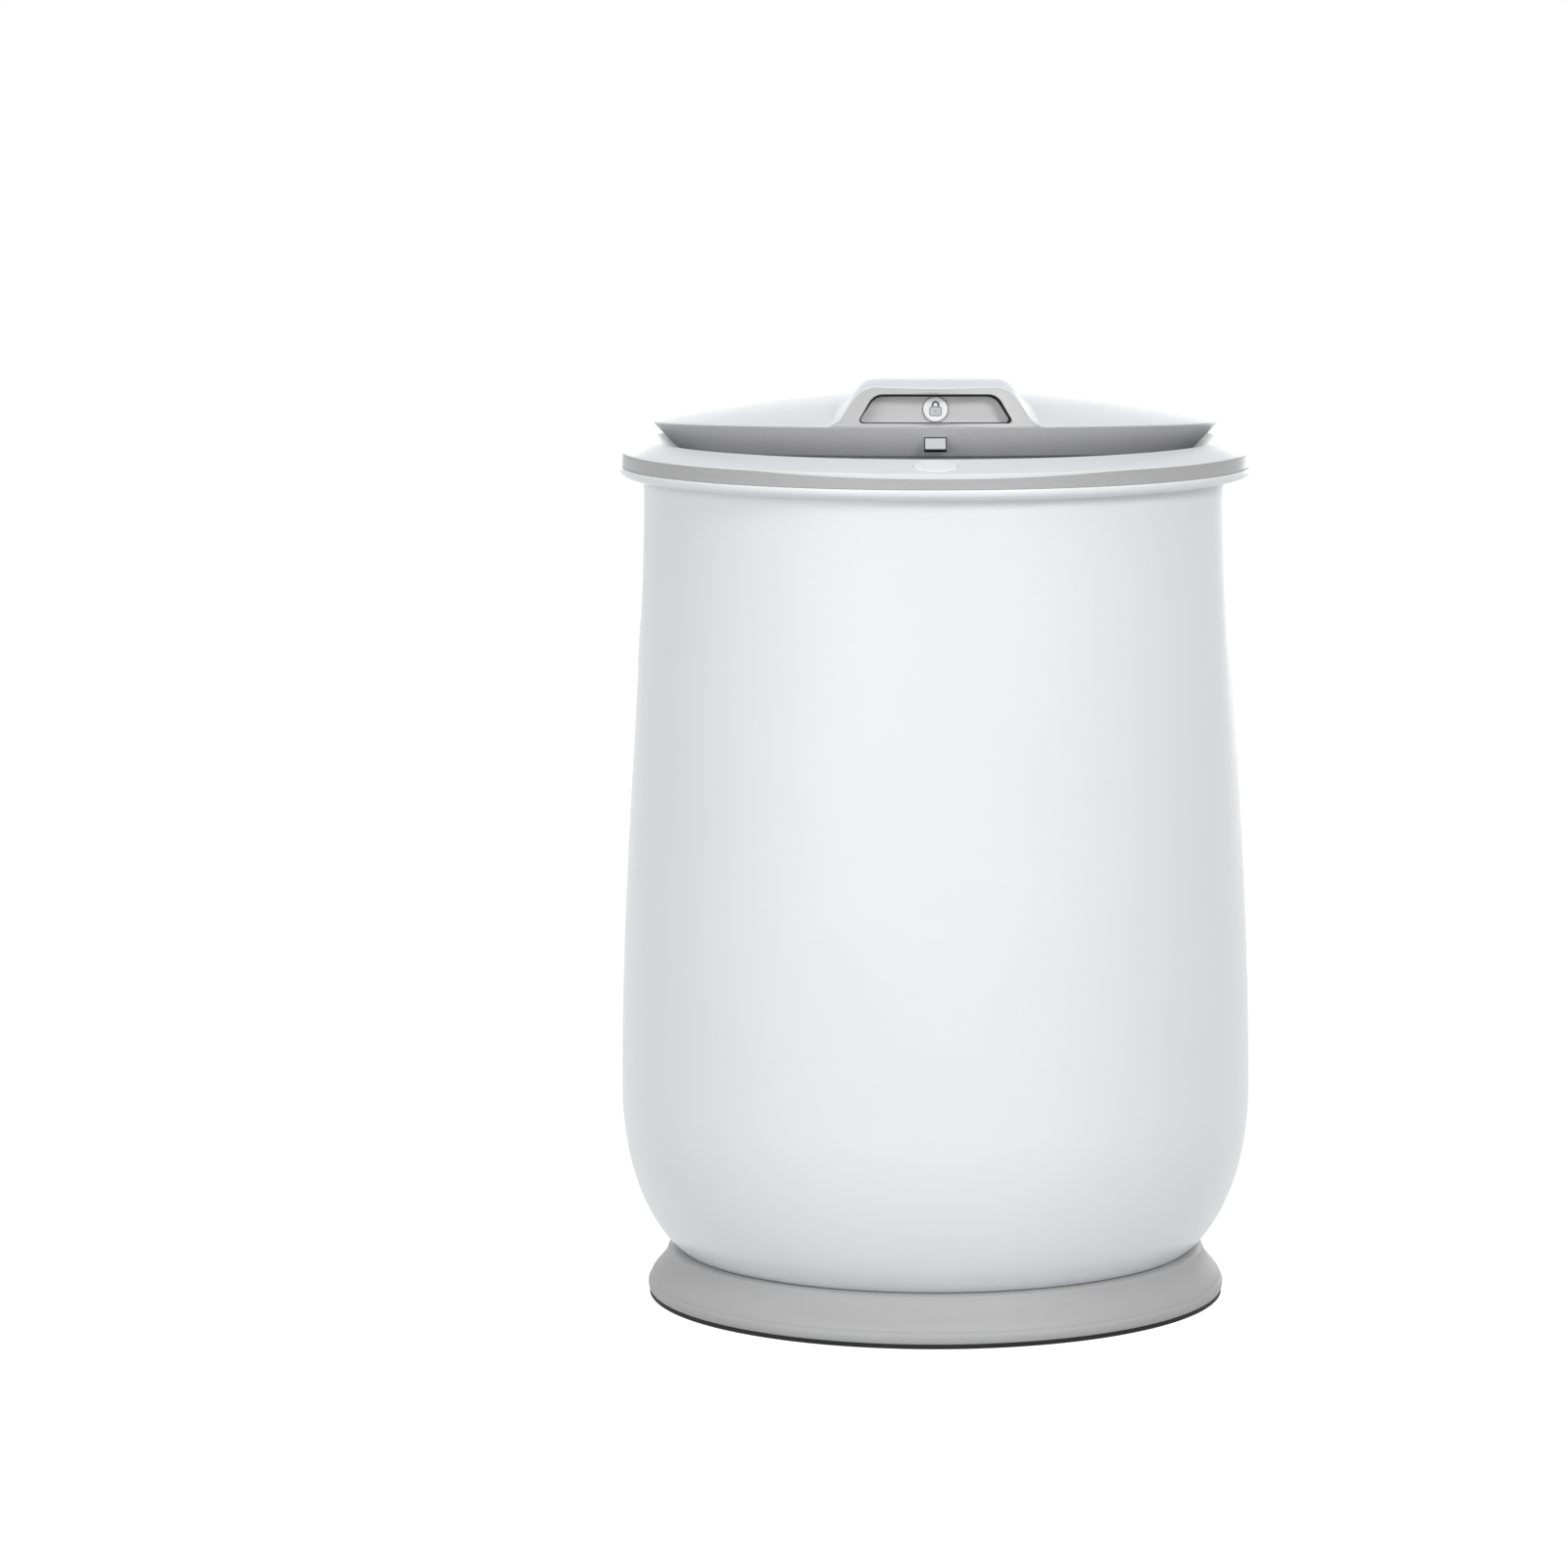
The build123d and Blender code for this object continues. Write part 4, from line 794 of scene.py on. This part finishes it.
def release_badge():
    """White badge with a rolled edge and a faint dish."""
    flat_r, roll, y = BADGE_R - BADGE_ROLL, BADGE_ROLL, BADGE_FRONT
    profile = [(0.5, y + 0.22), (3.0, y + 0.17), (5.0, y + 0.06), (flat_r, y)]
    turns = (0.3, 0.65, 1.0, 1.3, 1.57)
    profile += [(flat_r + roll * math.sin(t), y + roll * (1 - math.cos(t))) for t in turns]
    profile.append((BADGE_R, BADGE_BACK))
    return front_disc("release_badge", LID_PLANE + BADGE_HEIGHT, profile)


def front_plate(name, outline, front, back, edge=0.12):
    """Thin plate facing the front from an (x, z) outline, with a softened face edge."""
    middle_x = sum(p[0] for p in outline) / len(outline)
    middle_z = sum(p[1] for p in outline) / len(outline)

    def inset(amount):
        points = []
        for x, z in outline:
            dx, dz = x - middle_x, z - middle_z
            far = math.hypot(dx, dz)
            points.append((x - dx / far * amount, z - dz / far * amount))
        return points

    rings = [
        [(x, front, z) for x, z in inset(edge)],
        [(x, front + edge * 0.3, z) for x, z in inset(edge * 0.3)],
        [(x, front + edge, z) for x, z in outline],
        [(x, back, z) for x, z in outline],
    ]
    return skin(name, rings, cap_first=True, cap_last=True)


def padlock_plate(name, half_x, half_z, round_r, proud, depth, edge=0.12):
    """Rounded plate of the padlock pictogram, proud of the badge's face."""
    z = LID_PLANE + BADGE_HEIGHT - PADLOCK_DROP
    corners = [(-half_x, z - half_z), (half_x, z - half_z), (half_x, z + half_z), (-half_x, z + half_z)]
    return front_plate(name, soften(corners, round_r), BADGE_FRONT - proud, BADGE_FRONT + depth, edge)


def padlock_body():
    """Rounded body of the padlock pictogram."""
    return padlock_plate("padlock_body", 3.2, 2.5, 1.4, 0.05, 0.4)


def padlock_face():
    """Lighter inset of the padlock's body."""
    return padlock_plate("padlock_face", 2.65, 1.95, 0.95, 0.1, 0.3)


def padlock_keyhole():
    """Keyhole mark in the middle of the padlock's body."""
    return padlock_plate("padlock_keyhole", 0.5, 0.45, 0.3, 0.14, 0.2, 0.05)


def padlock_shackle():
    """Shackle of the padlock pictogram, a flattened arch."""
    foot_z = LID_PLANE + BADGE_HEIGHT + 1.2
    spring_z = foot_z + 1.15
    half, rise, half_wire = 1.45, 1.35, 0.42
    section = ((-half_wire, 0.3), (-half_wire, -0.05), (half_wire, -0.05), (half_wire, 0.3))
    turns = [math.pi * k / 12 for k in range(1, 12)]
    path = [(-half, foot_z), (-half, spring_z)]
    path += [(-half * math.cos(t), spring_z + rise * math.sin(t)) for t in turns]
    path += [(half, spring_z), (half, foot_z)]
    rings = []
    for i, (x, z) in enumerate(path):
        ax, az = path[max(i - 1, 0)]
        bx, bz = path[min(i + 1, len(path) - 1)]
        along = Vector((bx - ax, 0, bz - az)).normalized()
        across = Vector((along.z, 0, -along.x))
        rings.append([tuple(Vector((x, BADGE_FRONT + dy, z)) + across * dx) for dx, dy in section])
    return skin("padlock_shackle", rings, cap_first=True, cap_last=True)


def latch_slider():
    """Slider behind the badge, with the bolt at its foot."""
    low, high = BOLT_Z
    web_front, web_back = LATCH_WEB
    web_top = BADGE_HEIGHT + 5.0
    profile = [
        (BOLT_TIP + 0.3, high),
        (BOLT_TIP, high - 0.3),
        (BOLT_TIP, low + 0.5),
        (BOLT_TIP + 0.5, low),
        (web_back, low),
        (web_back, web_top),
        (web_front, web_top),
        (web_front, high),
    ]
    rings = []
    half, eased = BOLT_HALF, 0.25
    for x, inset in ((-half, eased), (-half + eased, 0.0), (half - eased, 0.0), (half, eased)):
        ring = []
        for y, z in profile:
            if y < web_front:
                ring.append((x, y + inset, LID_PLANE + z))
            else:
                ring.append((x, y, LID_PLANE + z - (inset if z > low else 0.0)))
        rings.append(ring)
    return skin("latch_slider", rings, cap_first=True, cap_last=True, crease=30)


def return_spring():
    """Compression spring between the slider and its guide."""
    wire, coil_r, steps = SPRING_WIRE, SPRING_COIL, 24
    total = round(SPRING_TURNS * steps)
    run = SPRING_FRONT - SPRING_BACK
    pitch = run / (2 * math.pi * SPRING_TURNS)
    section = [2 * math.pi * j / 10 for j in range(10)]
    rings = []
    for k in range(total + 1):
        a = 2 * math.pi * k / steps
        y = SPRING_BACK - wire + (run + 2 * wire) * k / total
        out = Vector((math.cos(a), 0.0, math.sin(a)))
        along = Vector((-math.sin(a) * coil_r, pitch, math.cos(a) * coil_r))
        side = out.cross(along.normalized())
        centre = Vector((coil_r * out.x, y, LID_PLANE + SPRING_HEIGHT + coil_r * out.z))
        rings.append([tuple(centre + wire * (math.cos(t) * out + math.sin(t) * side)) for t in section])
    return skin("latch_return_spring", rings, cap_first=True, cap_last=True, crease=60)


def squash_spring(piece):
    """Give the spring a mesh of its own."""
    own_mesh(piece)


# ---------------------------------------------------------------- colour and materials
DRIFT_MM = 60.0  # size of the broad patches in which shade and gloss wander
LINES_PER_STRIP = 3.0  # a metal's turning lines, and their depth
LINE_DEPTH_MM = 0.02


def srgb(code):
    """Linear colour from an sRGB hex code."""
    parts = [int(code[i : i + 2], 16) / 255 for i in (1, 3, 5)]
    linear = [c / 12.92 if c <= 0.04045 else ((c + 0.055) / 1.055) ** 2.4 for c in parts]
    return (*linear, 1.0)


def add(tree, kind, inputs=None, **settings):
    """Add a node with its settings; an input is a value or the socket that feeds it."""
    node = tree.nodes.new(kind)
    for key, value in settings.items():
        setattr(node, key, value)
    for key, value in (inputs or {}).items():
        if isinstance(value, bpy.types.NodeSocket):
            tree.links.new(value, node.inputs[key])
        else:
            node.inputs[key].default_value = value
    return node


def bare_material(name):
    """Material with an empty node tree."""
    material = bpy.data.materials.new(name)
    material.use_nodes = True
    material.node_tree.nodes.clear()
    return material, material.node_tree


def new_material(name):
    """Material with its shader, for the pattern nodes to feed."""
    material, tree = bare_material(name)
    shader = add(tree, "ShaderNodeBsdfPrincipled")
    add(tree, "ShaderNodeOutputMaterial", {"Surface": shader.outputs["BSDF"]})
    return material, tree, shader


def connect(tree, shader, shade, gloss, bump):
    """Feed colour, roughness and relief to the shader."""
    tree.links.new(shade.outputs[2], shader.inputs["Base Color"])
    tree.links.new(gloss.outputs["Result"], shader.inputs["Roughness"])
    tree.links.new(bump.outputs["Normal"], shader.inputs["Normal"])


def moulded(name, low, high, roughness, grain_mm, bump_mm, ior=1.53):
    """Moulded plastic: two close shades, a broad gloss drift and a fine mould grain."""
    material, tree, shader = new_material(name)
    point = add(tree, "ShaderNodeTexCoord").outputs["Object"]
    drift = add(tree, "ShaderNodeTexNoise", {"Vector": point, "Scale": 1 / (DRIFT_MM * MM), "Detail": 2.0})
    level = drift.outputs["Fac"]
    shade = add(tree, "ShaderNodeMix", {0: level, 6: srgb(low), 7: srgb(high)}, data_type="RGBA")
    swing = {"Value": level, "To Min": roughness * 0.92, "To Max": roughness * 1.08}
    gloss = add(tree, "ShaderNodeMapRange", swing)
    grain = add(tree, "ShaderNodeTexNoise", {"Vector": point, "Scale": 1 / (grain_mm * MM), "Detail": 3.0})
    relief = {"Height": grain.outputs["Fac"], "Strength": 1.0, "Distance": bump_mm * MM}
    connect(tree, shader, shade, gloss, add(tree, "ShaderNodeBump", relief))
    shader.inputs["IOR"].default_value = ior
    return material


def brushed_metal(name, low, high, roughness, strip_mm):
    """Metal with fine lines round the axis, three in each strip, as spinning or turning leaves them."""
    material, tree, shader = new_material(name)
    point = add(tree, "ShaderNodeTexCoord").outputs["Object"]
    strip = (1.0, 1.0, 1 / (strip_mm * MM))
    stretch = add(tree, "ShaderNodeMapping", {"Vector": point, "Scale": strip})
    spacing = {"Vector": stretch.outputs["Vector"], "Scale": LINES_PER_STRIP, "Detail": 4.0}
    level = add(tree, "ShaderNodeTexNoise", spacing).outputs["Fac"]
    shade = add(tree, "ShaderNodeMix", {0: level, 6: srgb(low), 7: srgb(high)}, data_type="RGBA")
    swing = {"Value": level, "To Min": roughness * 0.75, "To Max": roughness * 1.25}
    gloss = add(tree, "ShaderNodeMapRange", swing)
    relief = {"Height": level, "Strength": 0.4, "Distance": LINE_DEPTH_MM * MM}
    connect(tree, shader, shade, gloss, add(tree, "ShaderNodeBump", relief))
    shader.inputs["Metallic"].default_value = 1.0
    return material


# White ABS, injection moulded and polished: a clean white with a soft, wide gloss.
white_abs = moulded("white_abs_gloss", "#EEF0F2", "#F3F4F5", 0.3, 1.6, 0.006)
# The lid's white, satin rather than polished, so that the dome reads softly from low down; its colour is
# painted a shade darker than the barrel's white, to hold back the extra light on the up-facing dome.
lid_white_painted_shade = moulded("lid_white_satin_painted_shade", "#E6E9EC", "#ECEEF1", 0.45, 1.2, 0.006, ior=1.42)
# The same ABS in grey with a fine spark-eroded satin: gloss is broader and duller.
grey_abs = moulded("grey_abs_satin", "#B1B1B2", "#B7B7B8", 0.34, 0.5, 0.006)
# The base's grey ABS, with a rougher mould texture: highlights are broad and faint.
base_abs = moulded("base_abs_textured", "#B3B3B4", "#B9B9BA", 0.52, 0.5, 0.01)
# The lid's grey ABS, a shade lighter than the rim band and the base.
lid_grey_abs = moulded("lid_grey_abs_satin", "#BDBDBE", "#C2C2C3", 0.34, 0.5, 0.006)
# The skirt's grey ABS, painted lighter than the lid's grey to make up for the shade of the cone, which faces
# the floor.
skirt_grey_painted_light = moulded("skirt_satin_painted_light", "#C6C6C7", "#CBCBCC", 0.36, 0.5, 0.006)
# The pocket's grey ABS, painted lighter still to make up for the shade it sits in.
pocket_grey_painted_light = moulded("pocket_satin_painted_light", "#CCCCCD", "#D1D1D2", 0.38, 0.5, 0.006)
# Pale grey ABS of the rim, moulded and half polished: a clearer gloss than the greys beside it.
pale_abs = moulded("pale_abs_semigloss", "#E6E8EA", "#EAEBED", 0.26, 1.2, 0.005)
# Acetal of the latch bolt, moulded: a cool light grey with a waxy gloss.
bolt_acetal = moulded("bolt_acetal", "#C6C7C8", "#CBCCCD", 0.4, 0.8, 0.004)
# ABS of the badge, polished: the brightest white, with a sharp gloss.
badge_abs = moulded("badge_abs_polished", "#FAFAFA", "#FFFFFF", 0.18, 1.6, 0.003)
# Pad printing ink of the pictogram, matt beside the polished badge, in three greys.
ink_grey = moulded("pad_print_grey", "#9A9B9D", "#A2A3A5", 0.5, 0.4, 0.002)
ink_dark = moulded("pad_print_dark", "#4A4B4D", "#525355", 0.5, 0.4, 0.002)
ink_light = moulded("pad_print_light", "#C9CACC", "#CFD0D2", 0.5, 0.4, 0.002)
# Moulded rubber of the foot: matt black. Partly painted shadow: its black line stands in for the shadow under
# the base's edge.
foot_rubber = moulded("foot_rubber_and_painted_shadow", "#080808", "#0D0D0D", 0.85, 0.7, 0.02)
# Black and dull: painted shadow, the dark line round the finger window, made as a ring of its own.
painted_shadow_black = moulded("painted_shadow_black", "#0E0E0F", "#151516", 0.8, 0.6, 0.02)
# Silicone of the lid's seal: mid grey with a slightly waxy gloss.
seal_silicone = moulded("seal_silicone", "#9C9D9E", "#A6A7A8", 0.5, 0.8, 0.01)
# Glass-filled nylon, moulded: near black, with a coarse grain that breaks up the gloss.
black_nylon = moulded("black_nylon_grain", "#1B1C1D", "#252627", 0.5, 0.4, 0.02)
# Moulded polypropylene of the lid's liner: light grey and a little oily.
liner_pp = moulded("liner_polypropylene", "#C4C5C7", "#CCCDCF", 0.42, 0.9, 0.01)
# Silicone rubber of the heating mat, pressed against cloth: brick red and dull.
heater_red = moulded("heater_silicone", "#9B4A33", "#A9543B", 0.6, 0.8, 0.03)
# Needle felt of the lagging: mottled, with no gloss and a rough pile.
felt = moulded("needle_felt", "#A8A399", "#C2BDB2", 0.95, 0.6, 0.25)
# Cut open-cell foam: pale, without gloss, with pits that catch shade.
foam = moulded("open_cell_foam", "#C9C8C2", "#DAD9D4", 0.95, 0.9, 0.3)
# Circuit board laminate under green solder mask: dark green with a smooth gloss.
laminate = moulded("solder_mask_green", "#1D5A34", "#246A3E", 0.35, 1.2, 0.01)
# Moulded epoxy of the component cases: dull dark green.
component = moulded("component_case", "#2C4C38", "#345843", 0.45, 0.5, 0.01)
# Natural nylon of the plug-in connectors: a warm off-white, a little waxy.
nylon_natural = moulded("natural_nylon", "#DDDACF", "#E6E3D9", 0.45, 0.5, 0.01)
# Extruded PVC of the wires: grey, with a soft sheen along each wire.
wire_pvc = moulded("wire_pvc", "#6C6E70", "#77797B", 0.45, 0.6, 0.01)
# Spun aluminium of the drum: bright, with fine turning lines that draw the highlight out.
drum_aluminium = brushed_metal("spun_aluminium", "#E9EAEB", "#F3F4F4", 0.4, 0.6)
# Zinc-plated steel of the screws, the spring and the hinge pin: cool grey with small sharp glints.
zinc_steel = brushed_metal("zinc_plated_steel", "#B9BBBE", "#CDCFD1", 0.28, 0.3)
# Plated brass of the inlet's pins: a warm, pale gloss.
pin_brass = brushed_metal("plated_brass", "#C9B27A", "#D8C58F", 0.25, 0.3)

SLOT_FINISH = {
    "white_abs": white_abs,
    "white_key": badge_abs,
    "grey_abs": grey_abs,
    "pale_abs": pale_abs,
    "dark_plastic": black_nylon,
    "liner_plastic": liner_pp,
    "foot_rubber": foot_rubber,
    "seal_silicone": seal_silicone,
    "heater_silicone": heater_red,
    "drum_aluminium": drum_aluminium,
    "steel": zinc_steel,
    "pin_brass": pin_brass,
    "felt": felt,
    "foam": foam,
    "board_laminate": laminate,
    "component_plastic": component,
    "connector_nylon": nylon_natural,
    "wire_insulation": wire_pvc,
}


def finish_cad_nodes():
    """Give every CAD node the finish of its slot."""
    for entry in frame["record"]["subparts"]:
        piece = nodes[entry["node"]]
        piece.data.materials.clear()
        piece.data.materials.append(SLOT_FINISH[entry["material_slot"]])


EASED_MM = 0.5  # round that a mould leaves on an outer edge


def ease_edges():
    """Break the sharp edges of the hinge's parts, as moulding leaves them."""
    for name in ("hinge_bracket", "hinge_leaf"):
        bevel = nodes[name].modifiers.new("eased_edges", "BEVEL")
        bevel.width = EASED_MM * MM
        bevel.segments = 3
        bevel.limit_method = "ANGLE"
        bevel.angle_limit = math.radians(40)
        bevel.harden_normals = True


def place(piece, body, slot, material, *replaced):
    """Finish a piece, let it ride on its body and stand for its CAD nodes."""
    piece.data.materials.clear()
    piece.data.materials.append(material)
    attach(piece, body)
    if replaced:
        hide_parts(*replaced)
    return piece


# ---------------------------------------------------------------- stage, in metres
FLOOR_HALF = 12.0
FLOOR_LIFT = 0.80  # light that the floor adds for the camera, where 1 is white
SOFT_LIGHT = 0.42  # the surround's light on the object
WHITE = (1, 1, 1, 1)
CAMERA_PLACE = (0, -3.2645, 0.6909)
CAMERA_DOWN = 0.1279  # radians under level
LENS_MM = 143.0
LENS_SHIFT = -0.0966


def studio_floor():
    """Pale floor that keeps the object's shadow."""
    half = FLOOR_HALF
    corners = [(-half, -half, 0), (half, -half, 0), (half, half, 0), (-half, half, 0)]
    mesh = bpy.data.meshes.new("floor")
    mesh.from_pydata(corners, [], [(0, 1, 2, 3)])
    floor = bpy.data.objects.new("floor", mesh)
    bpy.context.scene.collection.objects.link(floor)
    material, tree = bare_material("studio_floor")
    ray = add(tree, "ShaderNodeLightPath").outputs
    plain = add(tree, "ShaderNodeBsdfDiffuse", {"Color": srgb("#CCCCCC")})
    straight = {0: ray["Is Camera Ray"], 1: ray["Is Glossy Ray"]}
    seen = add(tree, "ShaderNodeMath", straight, operation="MAXIMUM")
    lift = add(tree, "ShaderNodeMath", {0: seen.outputs[0], 1: FLOOR_LIFT}, operation="MULTIPLY")
    white = add(tree, "ShaderNodeEmission", {"Color": WHITE, "Strength": lift.outputs[0]})
    both = add(tree, "ShaderNodeAddShader", {0: plain.outputs[0], 1: white.outputs[0]})
    add(tree, "ShaderNodeOutputMaterial", {"Surface": both.outputs[0]})
    mesh.materials.append(material)


def surround():
    """White surround that lights the object softly."""
    world = bpy.data.worlds.new("studio")
    bpy.context.scene.world = world
    world.use_nodes = True
    tree = world.node_tree
    tree.nodes.clear()
    ray = add(tree, "ShaderNodeLightPath").outputs
    straight = {0: ray["Is Camera Ray"], 1: ray["Is Transmission Ray"]}
    direct = add(tree, "ShaderNodeMath", straight, operation="MAXIMUM")
    seen = add(tree, "ShaderNodeMath", {0: direct.outputs[0], 1: ray["Is Glossy Ray"]}, operation="MAXIMUM")
    soft = add(tree, "ShaderNodeBackground", {"Color": WHITE, "Strength": SOFT_LIGHT})
    white = add(tree, "ShaderNodeBackground", {"Color": WHITE, "Strength": 1.0})
    mixed = add(tree, "ShaderNodeMixShader", {0: seen.outputs[0], 1: soft.outputs[0], 2: white.outputs[0]})
    add(tree, "ShaderNodeOutputWorld", {"Surface": mixed.outputs[0]})


def lamp(name, place_m, aim_m, width, height, watts):
    """Rectangular soft light aimed at a point, with its place and sizes in metres."""
    data = bpy.data.lights.new(name, "AREA")
    data.shape = "RECTANGLE"
    data.size = width
    data.size_y = height
    data.energy = watts
    light = bpy.data.objects.new(name, data)
    light.location = place_m
    way = Vector(aim_m) - Vector(place_m)
    light.rotation_euler = way.to_track_quat("-Z", "Y").to_euler()
    bpy.context.scene.collection.objects.link(light)


def camera():
    """Camera a little above the rim, in front of the object."""
    scene = bpy.context.scene
    lens = bpy.data.cameras.new("camera")
    lens.sensor_width = 36.0
    lens.lens = LENS_MM
    lens.shift_x = LENS_SHIFT
    lens.clip_end = 60
    eye = bpy.data.objects.new("camera", lens)
    scene.collection.objects.link(eye)
    eye.location = CAMERA_PLACE
    eye.rotation_euler = (math.pi / 2 - CAMERA_DOWN, 0, 0)
    scene.camera = eye


def stage():
    """Floor, surround, soft lights and the camera."""
    studio_floor()
    surround()
    lamp("key_softbox", (1.3, -2.55, 1.75), (0, 0, 0.3), 1.0, 0.8, 32)
    lamp("front_softbox", (-1.6, -2.4, 1.2), (0, 0, 0.25), 2.0, 1.4, 24)
    lamp("top_softbox", (0.0, -0.9, 2.4), (0, 0, 0.3), 1.6, 1.4, 6)
    lamp("back_softbox", (0.3, 3.0, 0.55), (0, 0, 0.2), 2.4, 1.0, 25)
    camera()
    bpy.context.scene.view_settings.view_transform = "Standard"


# ---------------------------------------------------------------- build
stage()
finish_cad_nodes()
ease_edges()
# The black foot is partly painted shadow: its line stands in for the shadow under the base.
place(foot(), "body", "foot_rubber", foot_rubber, "foot_ring")
place(base(), "body", "grey_abs", base_abs, "base_shell")
place(barrel(), "body", "white_abs", white_abs, "outer_shell")
place(collar(), "body", "white_abs", white_abs, "collar_ring")
place(band(), "body", "grey_abs", grey_abs, "rim_band")
place(bezel(), "body", "pale_abs", pale_abs, "rim_bezel")
place(power_key(), "power_key", "pale_abs", white_abs, "power_button")
# The skirt's grey is painted lighter against the shade it faces.
place(raise_with_lid(skirt()), "lid", "grey_abs", skirt_grey_painted_light, "lid_skirt")
# The lid's white is painted a shade darker against the light on the dome.
place(raise_with_lid(lid_cover()), "lid", "white_abs", lid_white_painted_shade, "lid_cover")
place(raise_with_lid(handle_fascia()), "lid", "grey_abs", lid_grey_abs, "handle_fascia")
# The pocket's grey is painted lighter against its shade.
place(raise_with_lid(grip_pocket()), "lid", "grey_abs", pocket_grey_painted_light, "grip_pocket")
# Black ring of painted shadow round the finger window.
place(raise_with_lid(painted_window_shadow()), "lid", "foot_rubber", painted_shadow_black)
place(raise_with_lid(release_badge()), "latch", "white_key", badge_abs, "release_button")
place(raise_with_lid(latch_slider()), "latch", "pale_abs", bolt_acetal, "latch_carriage")
squash_spring(place(raise_with_lid(return_spring()), "lid", "steel", zinc_steel, "latch_spring"))
place(raise_with_lid(padlock_body()), "latch", "white_key", ink_grey)
place(raise_with_lid(padlock_keyhole()), "latch", "white_key", ink_grey)
place(raise_with_lid(padlock_face()), "latch", "white_key", ink_light)
place(raise_with_lid(padlock_shackle()), "latch", "white_key", ink_dark)
